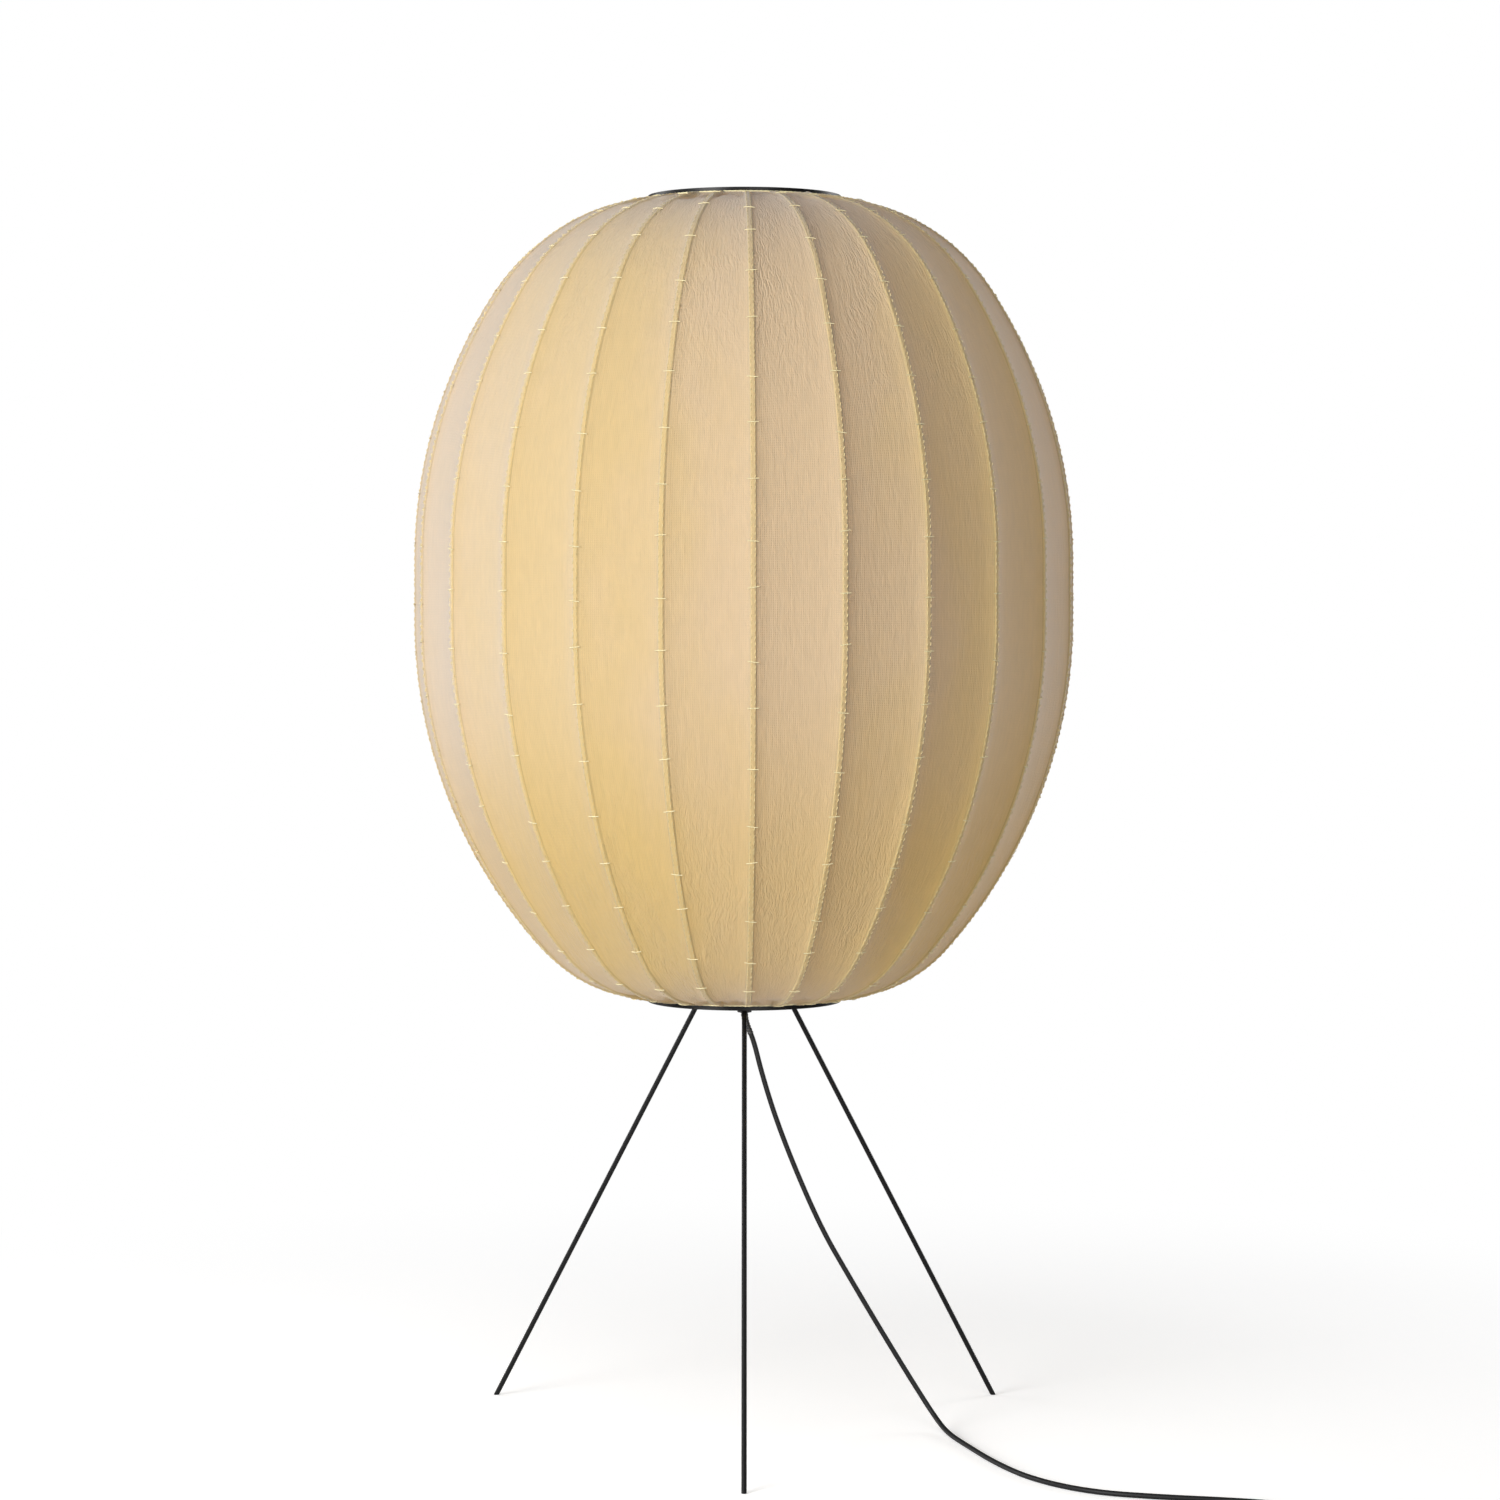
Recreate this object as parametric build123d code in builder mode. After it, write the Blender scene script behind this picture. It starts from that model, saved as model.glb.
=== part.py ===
from build123d import *
import os
from math import atan2, cos, degrees, dist, radians, sin, tan

# A knitted floor lamp: a tall melon-shaped cover over 24 bowed ribs, on three straight rod legs.
# Millimetres, Z up. The origin is on the floor under the lamp's axis, and the front is towards -Y.

os.makedirs("parts", exist_ok=True)

# Overall sizes of the lamp
total_height = 1203.5
cover_radius = 323.0
ring_underside = 415.8
rib_count = 24
rib_phase = 1.5

# Rings that the ribs spring between, and the heights of the bands that show past the knit
ring_radius = 94.5
ring_width = 7.0
ring_height = 8.0
top_band = 2.7
low_band = 4.1

# Line of the bowed ribs, seen from the side, and the straight runs that follow each arc
band_height = 59.4
band_middle = 818.0
side_radius = 476.0
top_side_turn = 33.2
bottom_side_turn = 41.9
side_runs = 4
crown_runs = 4

# Flat rib strips, and the tongues that enter the rings
rib_width = 4.5
rib_thickness = 1.0
tongue_length = 3.5
slot_depth = 4.0
slot_clearance = 0.15

# Knitted cover
knit_thickness = 1.0
knit_clearance = 0.3

# Frame that joins the lower ring, the legs and the lamp holder
hub_radius = 22.0
arm_width = 12.0
arm_thickness = 4.0
leg_count = 3
boss_radius = 4.75
boss_length = 16.0
leg_radius = 2.5
leg_clearance = 0.1
leg_inset = 1.0
foot_radius = 291.5
leg_top_radius = 50.0

# Threaded tube, nut and cord grip in the hub
nipple_radius = 5.0
nipple_bore_radius = 3.5
nipple_clearance = 0.2
nipple_rise = 10.0
nut_width = 14.0
nut_height = 3.0
grip_width = 12.0
grip_height = 8.5
grip_floor = 3.0

# Lamp holder and bulb, with the sizes of a common 27 mm screw fitting
holder_foot_radius = 11.0
holder_radius = 19.5
holder_foot_height = 10.0
holder_height = 58.0
socket_radius = 14.5
socket_depth = 32.0
block_radius = 11.0
block_height = 4.0
block_sides = 12
holder_sides = 24
contact_width = 5.0
contact_length = 16.0
contact_height = 1.0
bulb_cap_radius = 13.2
bulb_cap_height = 26.0
bulb_collar_height = 10.0
bulb_radius = 18.5
bulb_length = 116.0

# Mains cord and its faceted tube
cord_radius = 2.5
cord_sides = 5
straight_start = 10.0

# Foot switch on the cord
switch_middle_x = 420.0
switch_middle_y = -455.0
switch_length = 72.0
switch_width = 34.0
switch_height = 20.0
switch_corner = 5.0
switch_edge = 2.0
switch_wall = 2.0
switch_base_height = 5.0
switch_cord_height = 8.0
gland_length = 8.0
gland_width = 9.0
button_length = 24.0
button_width = 18.0
button_corner = 3.0
button_rise = 3.0
button_travel = 2.5
button_clearance = 0.3
button_gap = 0.1
flange_width = 1.5
flange_height = 1.6
stem_width = 4.0
stem_engagement = 0.5
module_length = 20.0
module_width = 16.0
pillar_width = 8.0
screw_along = 21.5
screw_across = 10.5
screw_radius = 1.5
screw_length = 11.0
screw_clearance = 0.1
screw_head_radius = 2.8
screw_head_height = 1.6
screw_head_inset = 0.5
screw_sides = 6

# Coil of the cord that lies unseen, wound in two layers
coil_middle_x = 305.0
coil_outer_radius = 32.75
coil_pitch = 5.5
coil_half_turns = 6
coil_samples = 660
coil_exit = 45.0

# Flat two-pin plug
plug_length = 34.0
plug_width = 35.0
plug_neck_width = 14.0
plug_shoulder = 10.0
sleeve_length = 20.0
sleeve_radius = 5.0
sleeve_tip_radius = 3.3
sleeve_sides = 8
pin_radius = 2.0
pin_length = 19.0
pin_spacing = 19.0
pin_root = 4.0
pin_clearance = 0.1

# Heights, lines and angles that follow from those
band_low = band_middle - band_height / 2
band_high = band_middle + band_height / 2
gore_angle = 360 / rib_count
gore_share = cos(radians(gore_angle / 2))
knit_inside = rib_thickness / 2 + knit_clearance + rib_width / 2 * tan(radians(gore_angle / 2))
knit_outside = knit_inside + knit_thickness
rib_line_radius = cover_radius - knit_outside
rib_low = ring_underside + low_band + knit_outside
rib_high = total_height - top_band - knit_outside
frame_middle = ring_underside + arm_thickness / 2
frame_top = ring_underside + arm_thickness


def heading(angle):
    """The direction at an angle above level, in the upright plane of a rib."""
    return Vector(cos(radians(angle)), sin(radians(angle)))


def crown_arc(side_turn, rise):
    """Radius and turn of the arc that leads, tangent, from a side arc to its ring."""
    side_middle = Vector(rib_line_radius - side_radius, 0)
    start = side_middle + heading(side_turn) * side_radius
    run = Vector(ring_radius, rise) - start
    radius = -run.dot(run) / (2 * run.dot(heading(side_turn)))
    end = run + heading(side_turn) * radius
    return radius, degrees(atan2(end.Y, end.X)) - side_turn


def half_bow(side_turn, rise, outset):
    """Points from the band's edge to a ring, on a side arc and a crown arc moved outwards."""
    crown_radius, crown_turn = crown_arc(side_turn, rise)
    side_middle = Vector(rib_line_radius - side_radius, 0)
    crown_middle = side_middle + heading(side_turn) * (side_radius - crown_radius)
    points = []
    for step in range(side_runs + 1):
        angle = side_turn * step / side_runs
        points.append(side_middle + heading(angle) * (side_radius + outset))
    for step in range(1, crown_runs + 1):
        angle = side_turn + crown_turn * step / crown_runs
        points.append(crown_middle + heading(angle) * (crown_radius + outset))
    return points


def bow(outset, share=1):
    """The bow from the lower ring to the upper, moved outwards, as points in a rib's plane.

    A share below 1 gives the line midway between two ribs, where the flat knit is nearer the axis.
    """
    lower = half_bow(bottom_side_turn, band_low - rib_low, outset)
    upper = half_bow(top_side_turn, rib_high - band_high, outset)
    points = [Vector(point.X * share, band_low - point.Y) for point in reversed(lower)]
    points += [Vector(point.X * share, band_high + point.Y) for point in upper]
    return points


def upright_plane(angle):
    """The upright plane through the lamp's axis at an angle, with its x outwards and its y up."""
    outward = (cos(radians(angle)), sin(radians(angle)), 0)
    sideways = (sin(radians(angle)), -cos(radians(angle)), 0)
    return Plane(origin=(0, 0, 0), x_dir=outward, z_dir=sideways)


# One gore of the knitted cover, flat from rib to rib, with straight hems that clear the rings
gore_middle = rib_phase - 90 + gore_angle / 2
gore_plane = upright_plane(gore_middle)
hem_plane = Plane(gore_plane.x_dir * (ring_radius + knit_clearance), z_dir=gore_plane.x_dir)
with BuildPart() as gore:
    with BuildSketch(gore_plane):
        with BuildLine():
            Polyline(
                *bow(knit_outside, gore_share),
                *reversed(bow(knit_inside, gore_share)),
                close=True,
            )
        make_face()
    extrude(amount=cover_radius * tan(radians(gore_angle)), both=True)
    split(bisect_by=upright_plane(gore_middle - gore_angle / 2), keep=Keep.BOTTOM)
    split(bisect_by=upright_plane(gore_middle + gore_angle / 2), keep=Keep.TOP)
    split(bisect_by=hem_plane, keep=Keep.TOP)

# Knitted cover: the gores joined round the axis
with BuildPart() as knit_cover:
    with PolarLocations(0, rib_count):
        add(gore.part)
knit_cover.part.label = "knit_cover"
export_step(knit_cover.part, "parts/knit_cover.step")

# Directions in which the ribs' tongues enter the rings
low_tongue_angle = 270 - bottom_side_turn - crown_arc(bottom_side_turn, band_low - rib_low)[1]
high_tongue_angle = 90 + top_side_turn + crown_arc(top_side_turn, rib_high - band_high)[1]
low_tongue = heading(low_tongue_angle)
high_tongue = heading(high_tongue_angle)

# Ribs: flat strips bowed from ring to ring, with a tongue at each end
outer_face = bow(rib_thickness / 2)
inner_face = bow(-rib_thickness / 2)
rib_outline = [
    outer_face[0] + low_tongue * tongue_length,
    *outer_face,
    outer_face[-1] + high_tongue * tongue_length,
    inner_face[-1] + high_tongue * tongue_length,
    *reversed(inner_face),
    inner_face[0] + low_tongue * tongue_length,
]
for index in range(rib_count):
    with BuildPart() as rib:
        with BuildSketch(upright_plane(rib_phase - 90 + index * gore_angle)):
            with BuildLine():
                Polyline(*rib_outline, close=True)
            make_face()
        extrude(amount=rib_width / 2, both=True)
    rib.part.label = f"rib_{index + 1:02d}"
    export_step(rib.part, f"parts/{rib.part.label}.step")


def slot_planes(height, tongue):
    """A plane outside each rib's slot in a ring, looking along the tongue that enters it."""
    planes = []
    for index in range(rib_count):
        rib_plane = upright_plane(rib_phase - 90 + index * gore_angle)
        mouth = Vector(ring_radius, height) - tongue * slot_depth
        planes.append(
            Plane(
                origin=rib_plane.from_local_coords(mouth),
                x_dir=rib_plane.z_dir,
                z_dir=rib_plane.x_dir * tongue.X + Vector(0, 0, tongue.Y),
            )
        )
    return planes


# Upper ring, with a slot for each rib's tongue
with BuildPart() as top_ring:
    with BuildSketch(Plane.XY.offset(total_height - ring_height)):
        Circle(ring_radius)
        Circle(ring_radius - ring_width, mode=Mode.SUBTRACT)
    extrude(amount=ring_height)
    with BuildSketch(*slot_planes(rib_high, high_tongue)):
        Rectangle(rib_width + 2 * slot_clearance, rib_thickness + 2 * slot_clearance)
    extrude(amount=2 * slot_depth, mode=Mode.SUBTRACT)
top_ring.part.label = "top_ring"
export_step(top_ring.part, "parts/top_ring.step")

# Planes square to the three legs where they pass through the lower frame, looking down the leg
lean = atan2(foot_radius - leg_top_radius, ring_underside)
leg_planes = []
for index in range(leg_count):
    leg_side = upright_plane(index * 360 / leg_count - 90)
    boss_middle = Vector(leg_top_radius - arm_thickness / 2 * tan(lean), frame_middle)
    leg_planes.append(
        Plane(
            origin=leg_side.from_local_coords(boss_middle),
            x_dir=leg_side.z_dir,
            z_dir=leg_side.x_dir * sin(lean) - Vector(0, 0, cos(lean)),
        )
    )

# Lower frame: ring, hub, three arms and the slanted bosses that hold the legs, welded as one
arm_reach = ring_radius - ring_width / 2
with BuildPart() as lower_frame:
    with BuildSketch(Plane.XY.offset(ring_underside)):
        Circle(ring_radius)
        Circle(ring_radius - ring_width, mode=Mode.SUBTRACT)
    extrude(amount=ring_height)
    with BuildSketch(Plane.XY.offset(ring_underside)):
        Circle(hub_radius)
        with PolarLocations(arm_reach / 2, leg_count, start_angle=-90):
            Rectangle(arm_reach, arm_width)
        Circle(nipple_radius + nipple_clearance, mode=Mode.SUBTRACT)
    extrude(amount=arm_thickness)
    with BuildSketch(*slot_planes(rib_low, low_tongue)):
        Rectangle(rib_width + 2 * slot_clearance, rib_thickness + 2 * slot_clearance)
    extrude(amount=2 * slot_depth, mode=Mode.SUBTRACT)
    with BuildSketch(*leg_planes):
        Circle(boss_radius)
    extrude(amount=boss_length / 2, both=True)
    with BuildSketch(*leg_planes):
        Circle(leg_radius + leg_clearance)
    extrude(amount=boss_length, both=True, mode=Mode.SUBTRACT)
lower_frame.part.label = "lower_frame"
export_step(lower_frame.part, "parts/lower_frame.step")

# Legs: plain rods from just inside the boss to the floor, cut level where they stand
for index, leg_plane in enumerate(leg_planes):
    with BuildPart() as leg:
        with BuildSketch(leg_plane.offset(leg_inset - boss_length / 2)):
            Circle(leg_radius)
        extrude(amount=frame_middle / cos(lean) + boss_length)
        split(bisect_by=Plane.XY, keep=Keep.TOP)
    leg.part.label = f"leg_{index + 1}"
    export_step(leg.part, f"parts/{leg.part.label}.step")

# Threaded tube through the hub, up into the holder's foot and down into the cord grip
grip_top = ring_underside - nut_height
grip_bottom = grip_top - grip_height
nipple_bottom = grip_bottom + grip_floor + nipple_clearance
with BuildPart() as nipple:
    with BuildSketch(Plane.XY.offset(nipple_bottom)):
        Circle(nipple_radius)
        Circle(nipple_bore_radius, mode=Mode.SUBTRACT)
    extrude(amount=frame_top + nipple_rise - nipple_bottom)
nipple.part.label = "nipple"
export_step(nipple.part, "parts/nipple.step")

# Nut that draws the holder down on the hub
with BuildPart() as nipple_nut:
    with BuildSketch(Plane.XY.offset(grip_top)):
        RegularPolygon(nut_width / 2, 6, major_radius=False)
        Circle(nipple_radius + nipple_clearance, mode=Mode.SUBTRACT)
    extrude(amount=nut_height)
nipple_nut.part.label = "nipple_nut"
export_step(nipple_nut.part, "parts/nipple_nut.step")

# Cord grip on the tube's lower end
with BuildPart() as cord_grip:
    with BuildSketch(Plane.XY.offset(grip_bottom)):
        RegularPolygon(grip_width / 2, 6, major_radius=False)
    extrude(amount=grip_height)
    with BuildSketch(Plane.XY.offset(grip_bottom + grip_floor)):
        Circle(nipple_radius + nipple_clearance)
    extrude(amount=grip_height, mode=Mode.SUBTRACT)
cord_grip.part.label = "cord_grip"
export_step(cord_grip.part, "parts/cord_grip.step")

# Lamp holder: a shell with a coned foot, the socket above and the tube's seat below
socket_floor = holder_height - socket_depth
side_share = cos(radians(180 / holder_sides))
with BuildPart() as holder_shell:
    with BuildSketch(Plane.XY.offset(frame_top)):
        RegularPolygon(holder_radius, holder_sides)
    extrude(amount=holder_height)
    foot = holder_shell.faces().sort_by(Axis.Z)[0]
    foot_inset = (holder_radius - holder_foot_radius) * side_share
    chamfer(foot.edges(), length=foot_inset, length2=holder_foot_height, reference=foot)
    with BuildSketch(Plane.XY.offset(frame_top + socket_floor)):
        RegularPolygon(socket_radius, holder_sides)
    extrude(amount=socket_depth, mode=Mode.SUBTRACT)
    with BuildSketch(Plane.XY.offset(frame_top)):
        Circle(nipple_radius + nipple_clearance)
    extrude(amount=nipple_rise + nipple_clearance, mode=Mode.SUBTRACT)
holder_shell.part.label = "holder_shell"
export_step(holder_shell.part, "parts/holder_shell.step")

# Insulating block on the socket's floor
block_floor = frame_top + socket_floor
with BuildPart() as contact_block:
    with BuildSketch(Plane.XY.offset(block_floor)):
        RegularPolygon(block_radius, block_sides)
    extrude(amount=block_height)
contact_block.part.label = "contact_block"
export_step(contact_block.part, "parts/contact_block.step")

# Contact strip on the block
with BuildPart() as contact_strip:
    with BuildSketch(Plane.XY.offset(block_floor + block_height)):
        Rectangle(contact_length, contact_width)
    extrude(amount=contact_height)
contact_strip.part.label = "contact_strip"
export_step(contact_strip.part, "parts/contact_strip.step")

# Bulb's screw cap, standing on the contact
cap_floor = block_floor + block_height + contact_height
with BuildPart() as bulb_cap:
    with BuildSketch(Plane.XY.offset(cap_floor)):
        RegularPolygon(bulb_cap_radius, holder_sides)
    extrude(amount=bulb_cap_height)
bulb_cap.part.label = "bulb_cap"
export_step(bulb_cap.part, "parts/bulb_cap.step")

# Bulb's tubular light body, on its coned collar
with BuildPart() as bulb_body:
    with BuildSketch(Plane.XY.offset(cap_floor + bulb_cap_height)):
        RegularPolygon(bulb_radius, holder_sides)
    extrude(amount=bulb_length - bulb_cap_height)
    collar = bulb_body.faces().sort_by(Axis.Z)[0]
    collar_inset = (bulb_radius - bulb_cap_radius) * side_share
    chamfer(collar.edges(), length=collar_inset, length2=bulb_collar_height, reference=collar)
bulb_body.part.label = "bulb_body"
export_step(bulb_body.part, "parts/bulb_body.step")


def arc_radii(points):
    """The radius of the arc at each corner of a route, as large as its two runs allow."""
    radii = []
    for before, corner, after in zip(points, points[1:], points[2:]):
        turn = (corner - before).get_angle(after - corner)
        shorter = min((corner - before).length, (after - corner).length)
        radii.append(0.45 * shorter / tan(radians(turn / 2)))
    return radii


def print_volume(name, piece, section, path):
    """Compare a tube's volume with its section times its length."""
    share = piece.volume / (section * path.length)
    print(f"{name}: length {path.length:.1f}, volume over section times length {share:.4f}")


# Foot switch's place on the floor, and the ends of its glands
switch_plane = Plane(origin=(switch_middle_x, switch_middle_y, 0))
switch_inlet = Vector(switch_middle_x + switch_length / 2, switch_middle_y, switch_cord_height)
switch_outlet = Vector(switch_middle_x - switch_length / 2, switch_middle_y, switch_cord_height)

# Route of the cord from the grip to the foot switch: down, onto the floor, forwards and right
lead_points = [
    Vector(0, 0, grip_bottom),
    Vector(0, 0, grip_bottom - straight_start),
    Vector(6, 0, 376),
    Vector(16, -1, 345),
    Vector(31, -1, 299),
    Vector(53, -2, 243),
    Vector(77, -4, 190),
    Vector(99, -5, 152),
    Vector(131, -7, 98),
    Vector(163, -9, 46),
    Vector(187, -14, 9),
    Vector(197, -52, cord_radius),
    Vector(213, -108, cord_radius),
    Vector(234, -178, cord_radius),
    Vector(264, -247, cord_radius),
    Vector(313, -298, cord_radius),
    Vector(376, -318, cord_radius),
    Vector(442, -331, cord_radius),
    Vector(494, -349, cord_radius),
    Vector(522, -392, cord_radius),
    Vector(512, -437, 3.5),
    Vector(478, -455, switch_cord_height),
    switch_inlet,
]
lead_radii = arc_radii(lead_points)
print("lead radii:", [round(radius, 1) for radius in lead_radii])

# Cord from the grip to the foot switch
with BuildPart() as cord_lead:
    with BuildLine() as lead_line:
        FilletPolyline(*lead_points, radius=lead_radii)
    with BuildSketch(Plane(origin=lead_points[0], z_dir=(0, 0, -1))):
        RegularPolygon(cord_radius, cord_sides)
    sweep(path=lead_line.wire())
cord_lead.part.label = "cord_lead"
export_step(cord_lead.part, "parts/cord_lead.step")
lead_section = cord_sides / 2 * cord_radius**2 * sin(radians(360 / cord_sides))
print_volume("cord_lead", cord_lead.part, lead_section, lead_line.wire())


def screw_spots():
    """The two screws' places, in opposite corners of the switch."""
    return Locations((screw_along, screw_across), (-screw_along, -screw_across))


def switch_outline(inset):
    """The switch's outline with cut corners, drawn inside BuildSketch."""
    length = switch_length - 2 * gland_length - 2 * inset
    outline = Rectangle(length, switch_width - 2 * inset)
    chamfer(outline.vertices(), length=switch_corner)


def button_outline(outset):
    """The button's outline with cut corners, drawn inside BuildSketch."""
    outline = Rectangle(button_length + 2 * outset, button_width + 2 * outset)
    chamfer(outline.vertices(), length=button_corner)


# Foot switch's base plate, with sunk places for the screw heads
head_top = screw_head_inset + screw_head_height
with BuildPart() as switch_base:
    with BuildSketch(switch_plane):
        switch_outline(0)
    extrude(amount=switch_base_height)
    with BuildSketch(switch_plane):
        with screw_spots():
            RegularPolygon(screw_head_radius + screw_clearance, screw_sides)
    extrude(amount=head_top, mode=Mode.SUBTRACT)
    with BuildSketch(switch_plane):
        with screw_spots():
            RegularPolygon(screw_radius + screw_clearance, screw_sides)
    extrude(amount=switch_base_height, mode=Mode.SUBTRACT)
switch_base.part.label = "switch_base"
export_step(switch_base.part, "parts/switch_base.step")

# Foot switch's cover: walls and roof, screw pillars, the button's hole and the cord glands
roof_underside = switch_height - switch_wall
gland_middle = (switch_length - gland_length) / 2
with BuildPart() as switch_cover:
    with BuildSketch(switch_plane.offset(switch_base_height)):
        switch_outline(0)
    extrude(amount=switch_height - switch_base_height)
    chamfer(switch_cover.faces().sort_by(Axis.Z)[-1].edges(), length=switch_edge)
    with BuildSketch(switch_plane.offset(switch_base_height)):
        switch_outline(switch_wall)
        with screw_spots():
            Rectangle(pillar_width, pillar_width, mode=Mode.SUBTRACT)
    extrude(amount=roof_underside - switch_base_height, mode=Mode.SUBTRACT)
    with BuildSketch(switch_plane.offset(switch_base_height)):
        with screw_spots():
            RegularPolygon(screw_radius + screw_clearance, screw_sides)
    extrude(amount=screw_length, mode=Mode.SUBTRACT)
    with BuildSketch(switch_plane.offset(roof_underside)):
        button_outline(button_clearance)
    extrude(amount=switch_wall, mode=Mode.SUBTRACT)
    with BuildSketch(switch_plane.offset(switch_base_height)):
        with Locations((gland_middle, 0), (-gland_middle, 0)):
            Rectangle(gland_length, gland_width)
    extrude(amount=2 * (switch_cord_height - switch_base_height))
switch_cover.part.label = "switch_cover"
export_step(switch_cover.part, "parts/switch_cover.step")

# Foot switch's button: cap, flange under the roof, and the stem that works the switch inside
flange_top = roof_underside - button_gap
flange_floor = flange_top - flange_height
module_top = flange_floor - button_travel - button_clearance
with BuildPart() as switch_button:
    with BuildSketch(switch_plane.offset(flange_floor)):
        button_outline(flange_width)
    extrude(amount=flange_height)
    with BuildSketch(switch_plane.offset(flange_top)):
        button_outline(0)
    extrude(amount=switch_height + button_rise - flange_top)
    with BuildSketch(switch_plane.offset(module_top - stem_engagement)):
        Rectangle(stem_width, stem_width)
    extrude(amount=flange_floor - module_top + stem_engagement)
switch_button.part.label = "switch_button"
export_step(switch_button.part, "parts/switch_button.step")

# Sealed switch under the button, with its own return spring and a well for the stem
well_depth = stem_engagement + button_travel + button_clearance
with BuildPart() as switch_module:
    with BuildSketch(switch_plane.offset(switch_base_height)):
        Rectangle(module_length, module_width)
    extrude(amount=module_top - switch_base_height)
    with BuildSketch(switch_plane.offset(module_top)):
        Rectangle(stem_width + 2 * button_clearance, stem_width + 2 * button_clearance)
    extrude(amount=-well_depth, mode=Mode.SUBTRACT)
switch_module.part.label = "switch_module"
export_step(switch_module.part, "parts/switch_module.step")

# The two screws that hold the foot switch together
with BuildPart() as switch_screws:
    with BuildSketch(switch_plane.offset(screw_head_inset)):
        with screw_spots():
            RegularPolygon(screw_head_radius, screw_sides)
    extrude(amount=screw_head_height)
    with BuildSketch(switch_plane.offset(head_top)):
        with screw_spots():
            RegularPolygon(screw_radius, screw_sides)
    extrude(amount=screw_length)
switch_screws.part.label = "switch_screws"
export_step(switch_screws.part, "parts/switch_screws.step")

# Ends of the coil's half turns: inwards on the floor, up a layer on the innermost, and outwards
coil_ends = [Vector(coil_middle_x, switch_middle_y, cord_radius)]
upper_layer = cord_radius + coil_pitch
climb = coil_half_turns // 2
for index in range(coil_half_turns):
    radius = coil_outer_radius - coil_pitch / 2 * min(index, 2 * climb - index)
    side = 1 if index % 2 else -1
    height = upper_layer if index >= climb else cord_radius
    coil_ends.append(Vector(coil_middle_x, coil_ends[-1].Y + 2 * side * radius, height))

# Run from the switch down to the coil
tail_points = [
    switch_outlet,
    switch_outlet - Vector(11, 0, 0),
    Vector(342, switch_middle_y, cord_radius),
    coil_ends[0],
]

# Cord from the foot switch through its coil to the plug, as one tube of square section
plug_entry = coil_ends[-1] - Vector(coil_exit, 0, 0)
with BuildPart() as cord_coil:
    with BuildLine() as coil_line:
        FilletPolyline(*tail_points, radius=arc_radii(tail_points))
        for index, (start, end) in enumerate(zip(coil_ends, coil_ends[1:])):
            forward = Vector(1 if index % 2 else -1, 0, 0)
            middle = (start + end) / 2 + forward * (end - start).length / 2
            quarter = TangentArc(start, middle, tangent=forward)
            TangentArc(middle, end, tangent=quarter % 1)
        Line(coil_ends[-1], plug_entry)
    with BuildSketch(Plane(origin=switch_outlet, x_dir=(0, 1, 0), z_dir=(-1, 0, 0))):
        Rectangle(2 * cord_radius, 2 * cord_radius)
    sweep(path=coil_line.wire())
cord_coil.part.label = "cord_coil"
export_step(cord_coil.part, "parts/cord_coil.step")
print_volume("cord_coil", cord_coil.part, 4 * cord_radius**2, coil_line.wire())

# Least gap of the coil to itself, measured on points more than a quarter turn apart
coil_wire = coil_line.wire()
samples = [tuple(coil_wire @ (step / coil_samples)) for step in range(coil_samples + 1)]
apart = int(coil_samples * coil_outer_radius * 1.5 / coil_wire.length)
least = min(
    dist(samples[first], samples[second])
    for first in range(coil_samples)
    for second in range(first + apart, coil_samples + 1)
)
print(f"cord_coil least gap to itself: {least - 2 * cord_radius:.2f}")

# Plug body on the floor, with the sleeve that the cord enters
sleeve_end = plug_entry - Vector(sleeve_length, 0, 0)
pin_face = sleeve_end - Vector(plug_length, 0, 0)
plug_floor = Plane(origin=(sleeve_end.X, sleeve_end.Y, 0))
pin_plane = Plane(origin=pin_face, x_dir=(0, 1, 0), z_dir=(-1, 0, 0))
with BuildPart() as plug_body:
    with BuildSketch(Plane(origin=plug_entry, z_dir=(-1, 0, 0))):
        RegularPolygon(sleeve_tip_radius, sleeve_sides)
    with BuildSketch(Plane(origin=sleeve_end, z_dir=(-1, 0, 0))):
        RegularPolygon(sleeve_radius, sleeve_sides)
    loft(ruled=True)
    with BuildSketch(plug_floor):
        Polygon(
            (0, plug_neck_width / 2),
            (-plug_shoulder, plug_width / 2),
            (-plug_length, plug_width / 2),
            (-plug_length, -plug_width / 2),
            (-plug_shoulder, -plug_width / 2),
            (0, -plug_neck_width / 2),
            align=None,
        )
    extrude(amount=2 * upper_layer)
    with BuildSketch(pin_plane):
        with Locations((pin_spacing / 2, 0), (-pin_spacing / 2, 0)):
            Circle(pin_radius + pin_clearance)
    extrude(amount=-pin_root - pin_clearance, mode=Mode.SUBTRACT)
plug_body.part.label = "plug_body"
export_step(plug_body.part, "parts/plug_body.step")

# The plug's two round pins
with BuildPart() as plug_pins:
    with BuildSketch(pin_plane.offset(-pin_root)):
        with Locations((pin_spacing / 2, 0), (-pin_spacing / 2, 0)):
            Circle(pin_radius)
    extrude(amount=pin_root + pin_length)
plug_pins.part.label = "plug_pins"
export_step(plug_pins.part, "parts/plug_pins.step")
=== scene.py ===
from math import atan2, cos, pi, radians, sin

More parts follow.
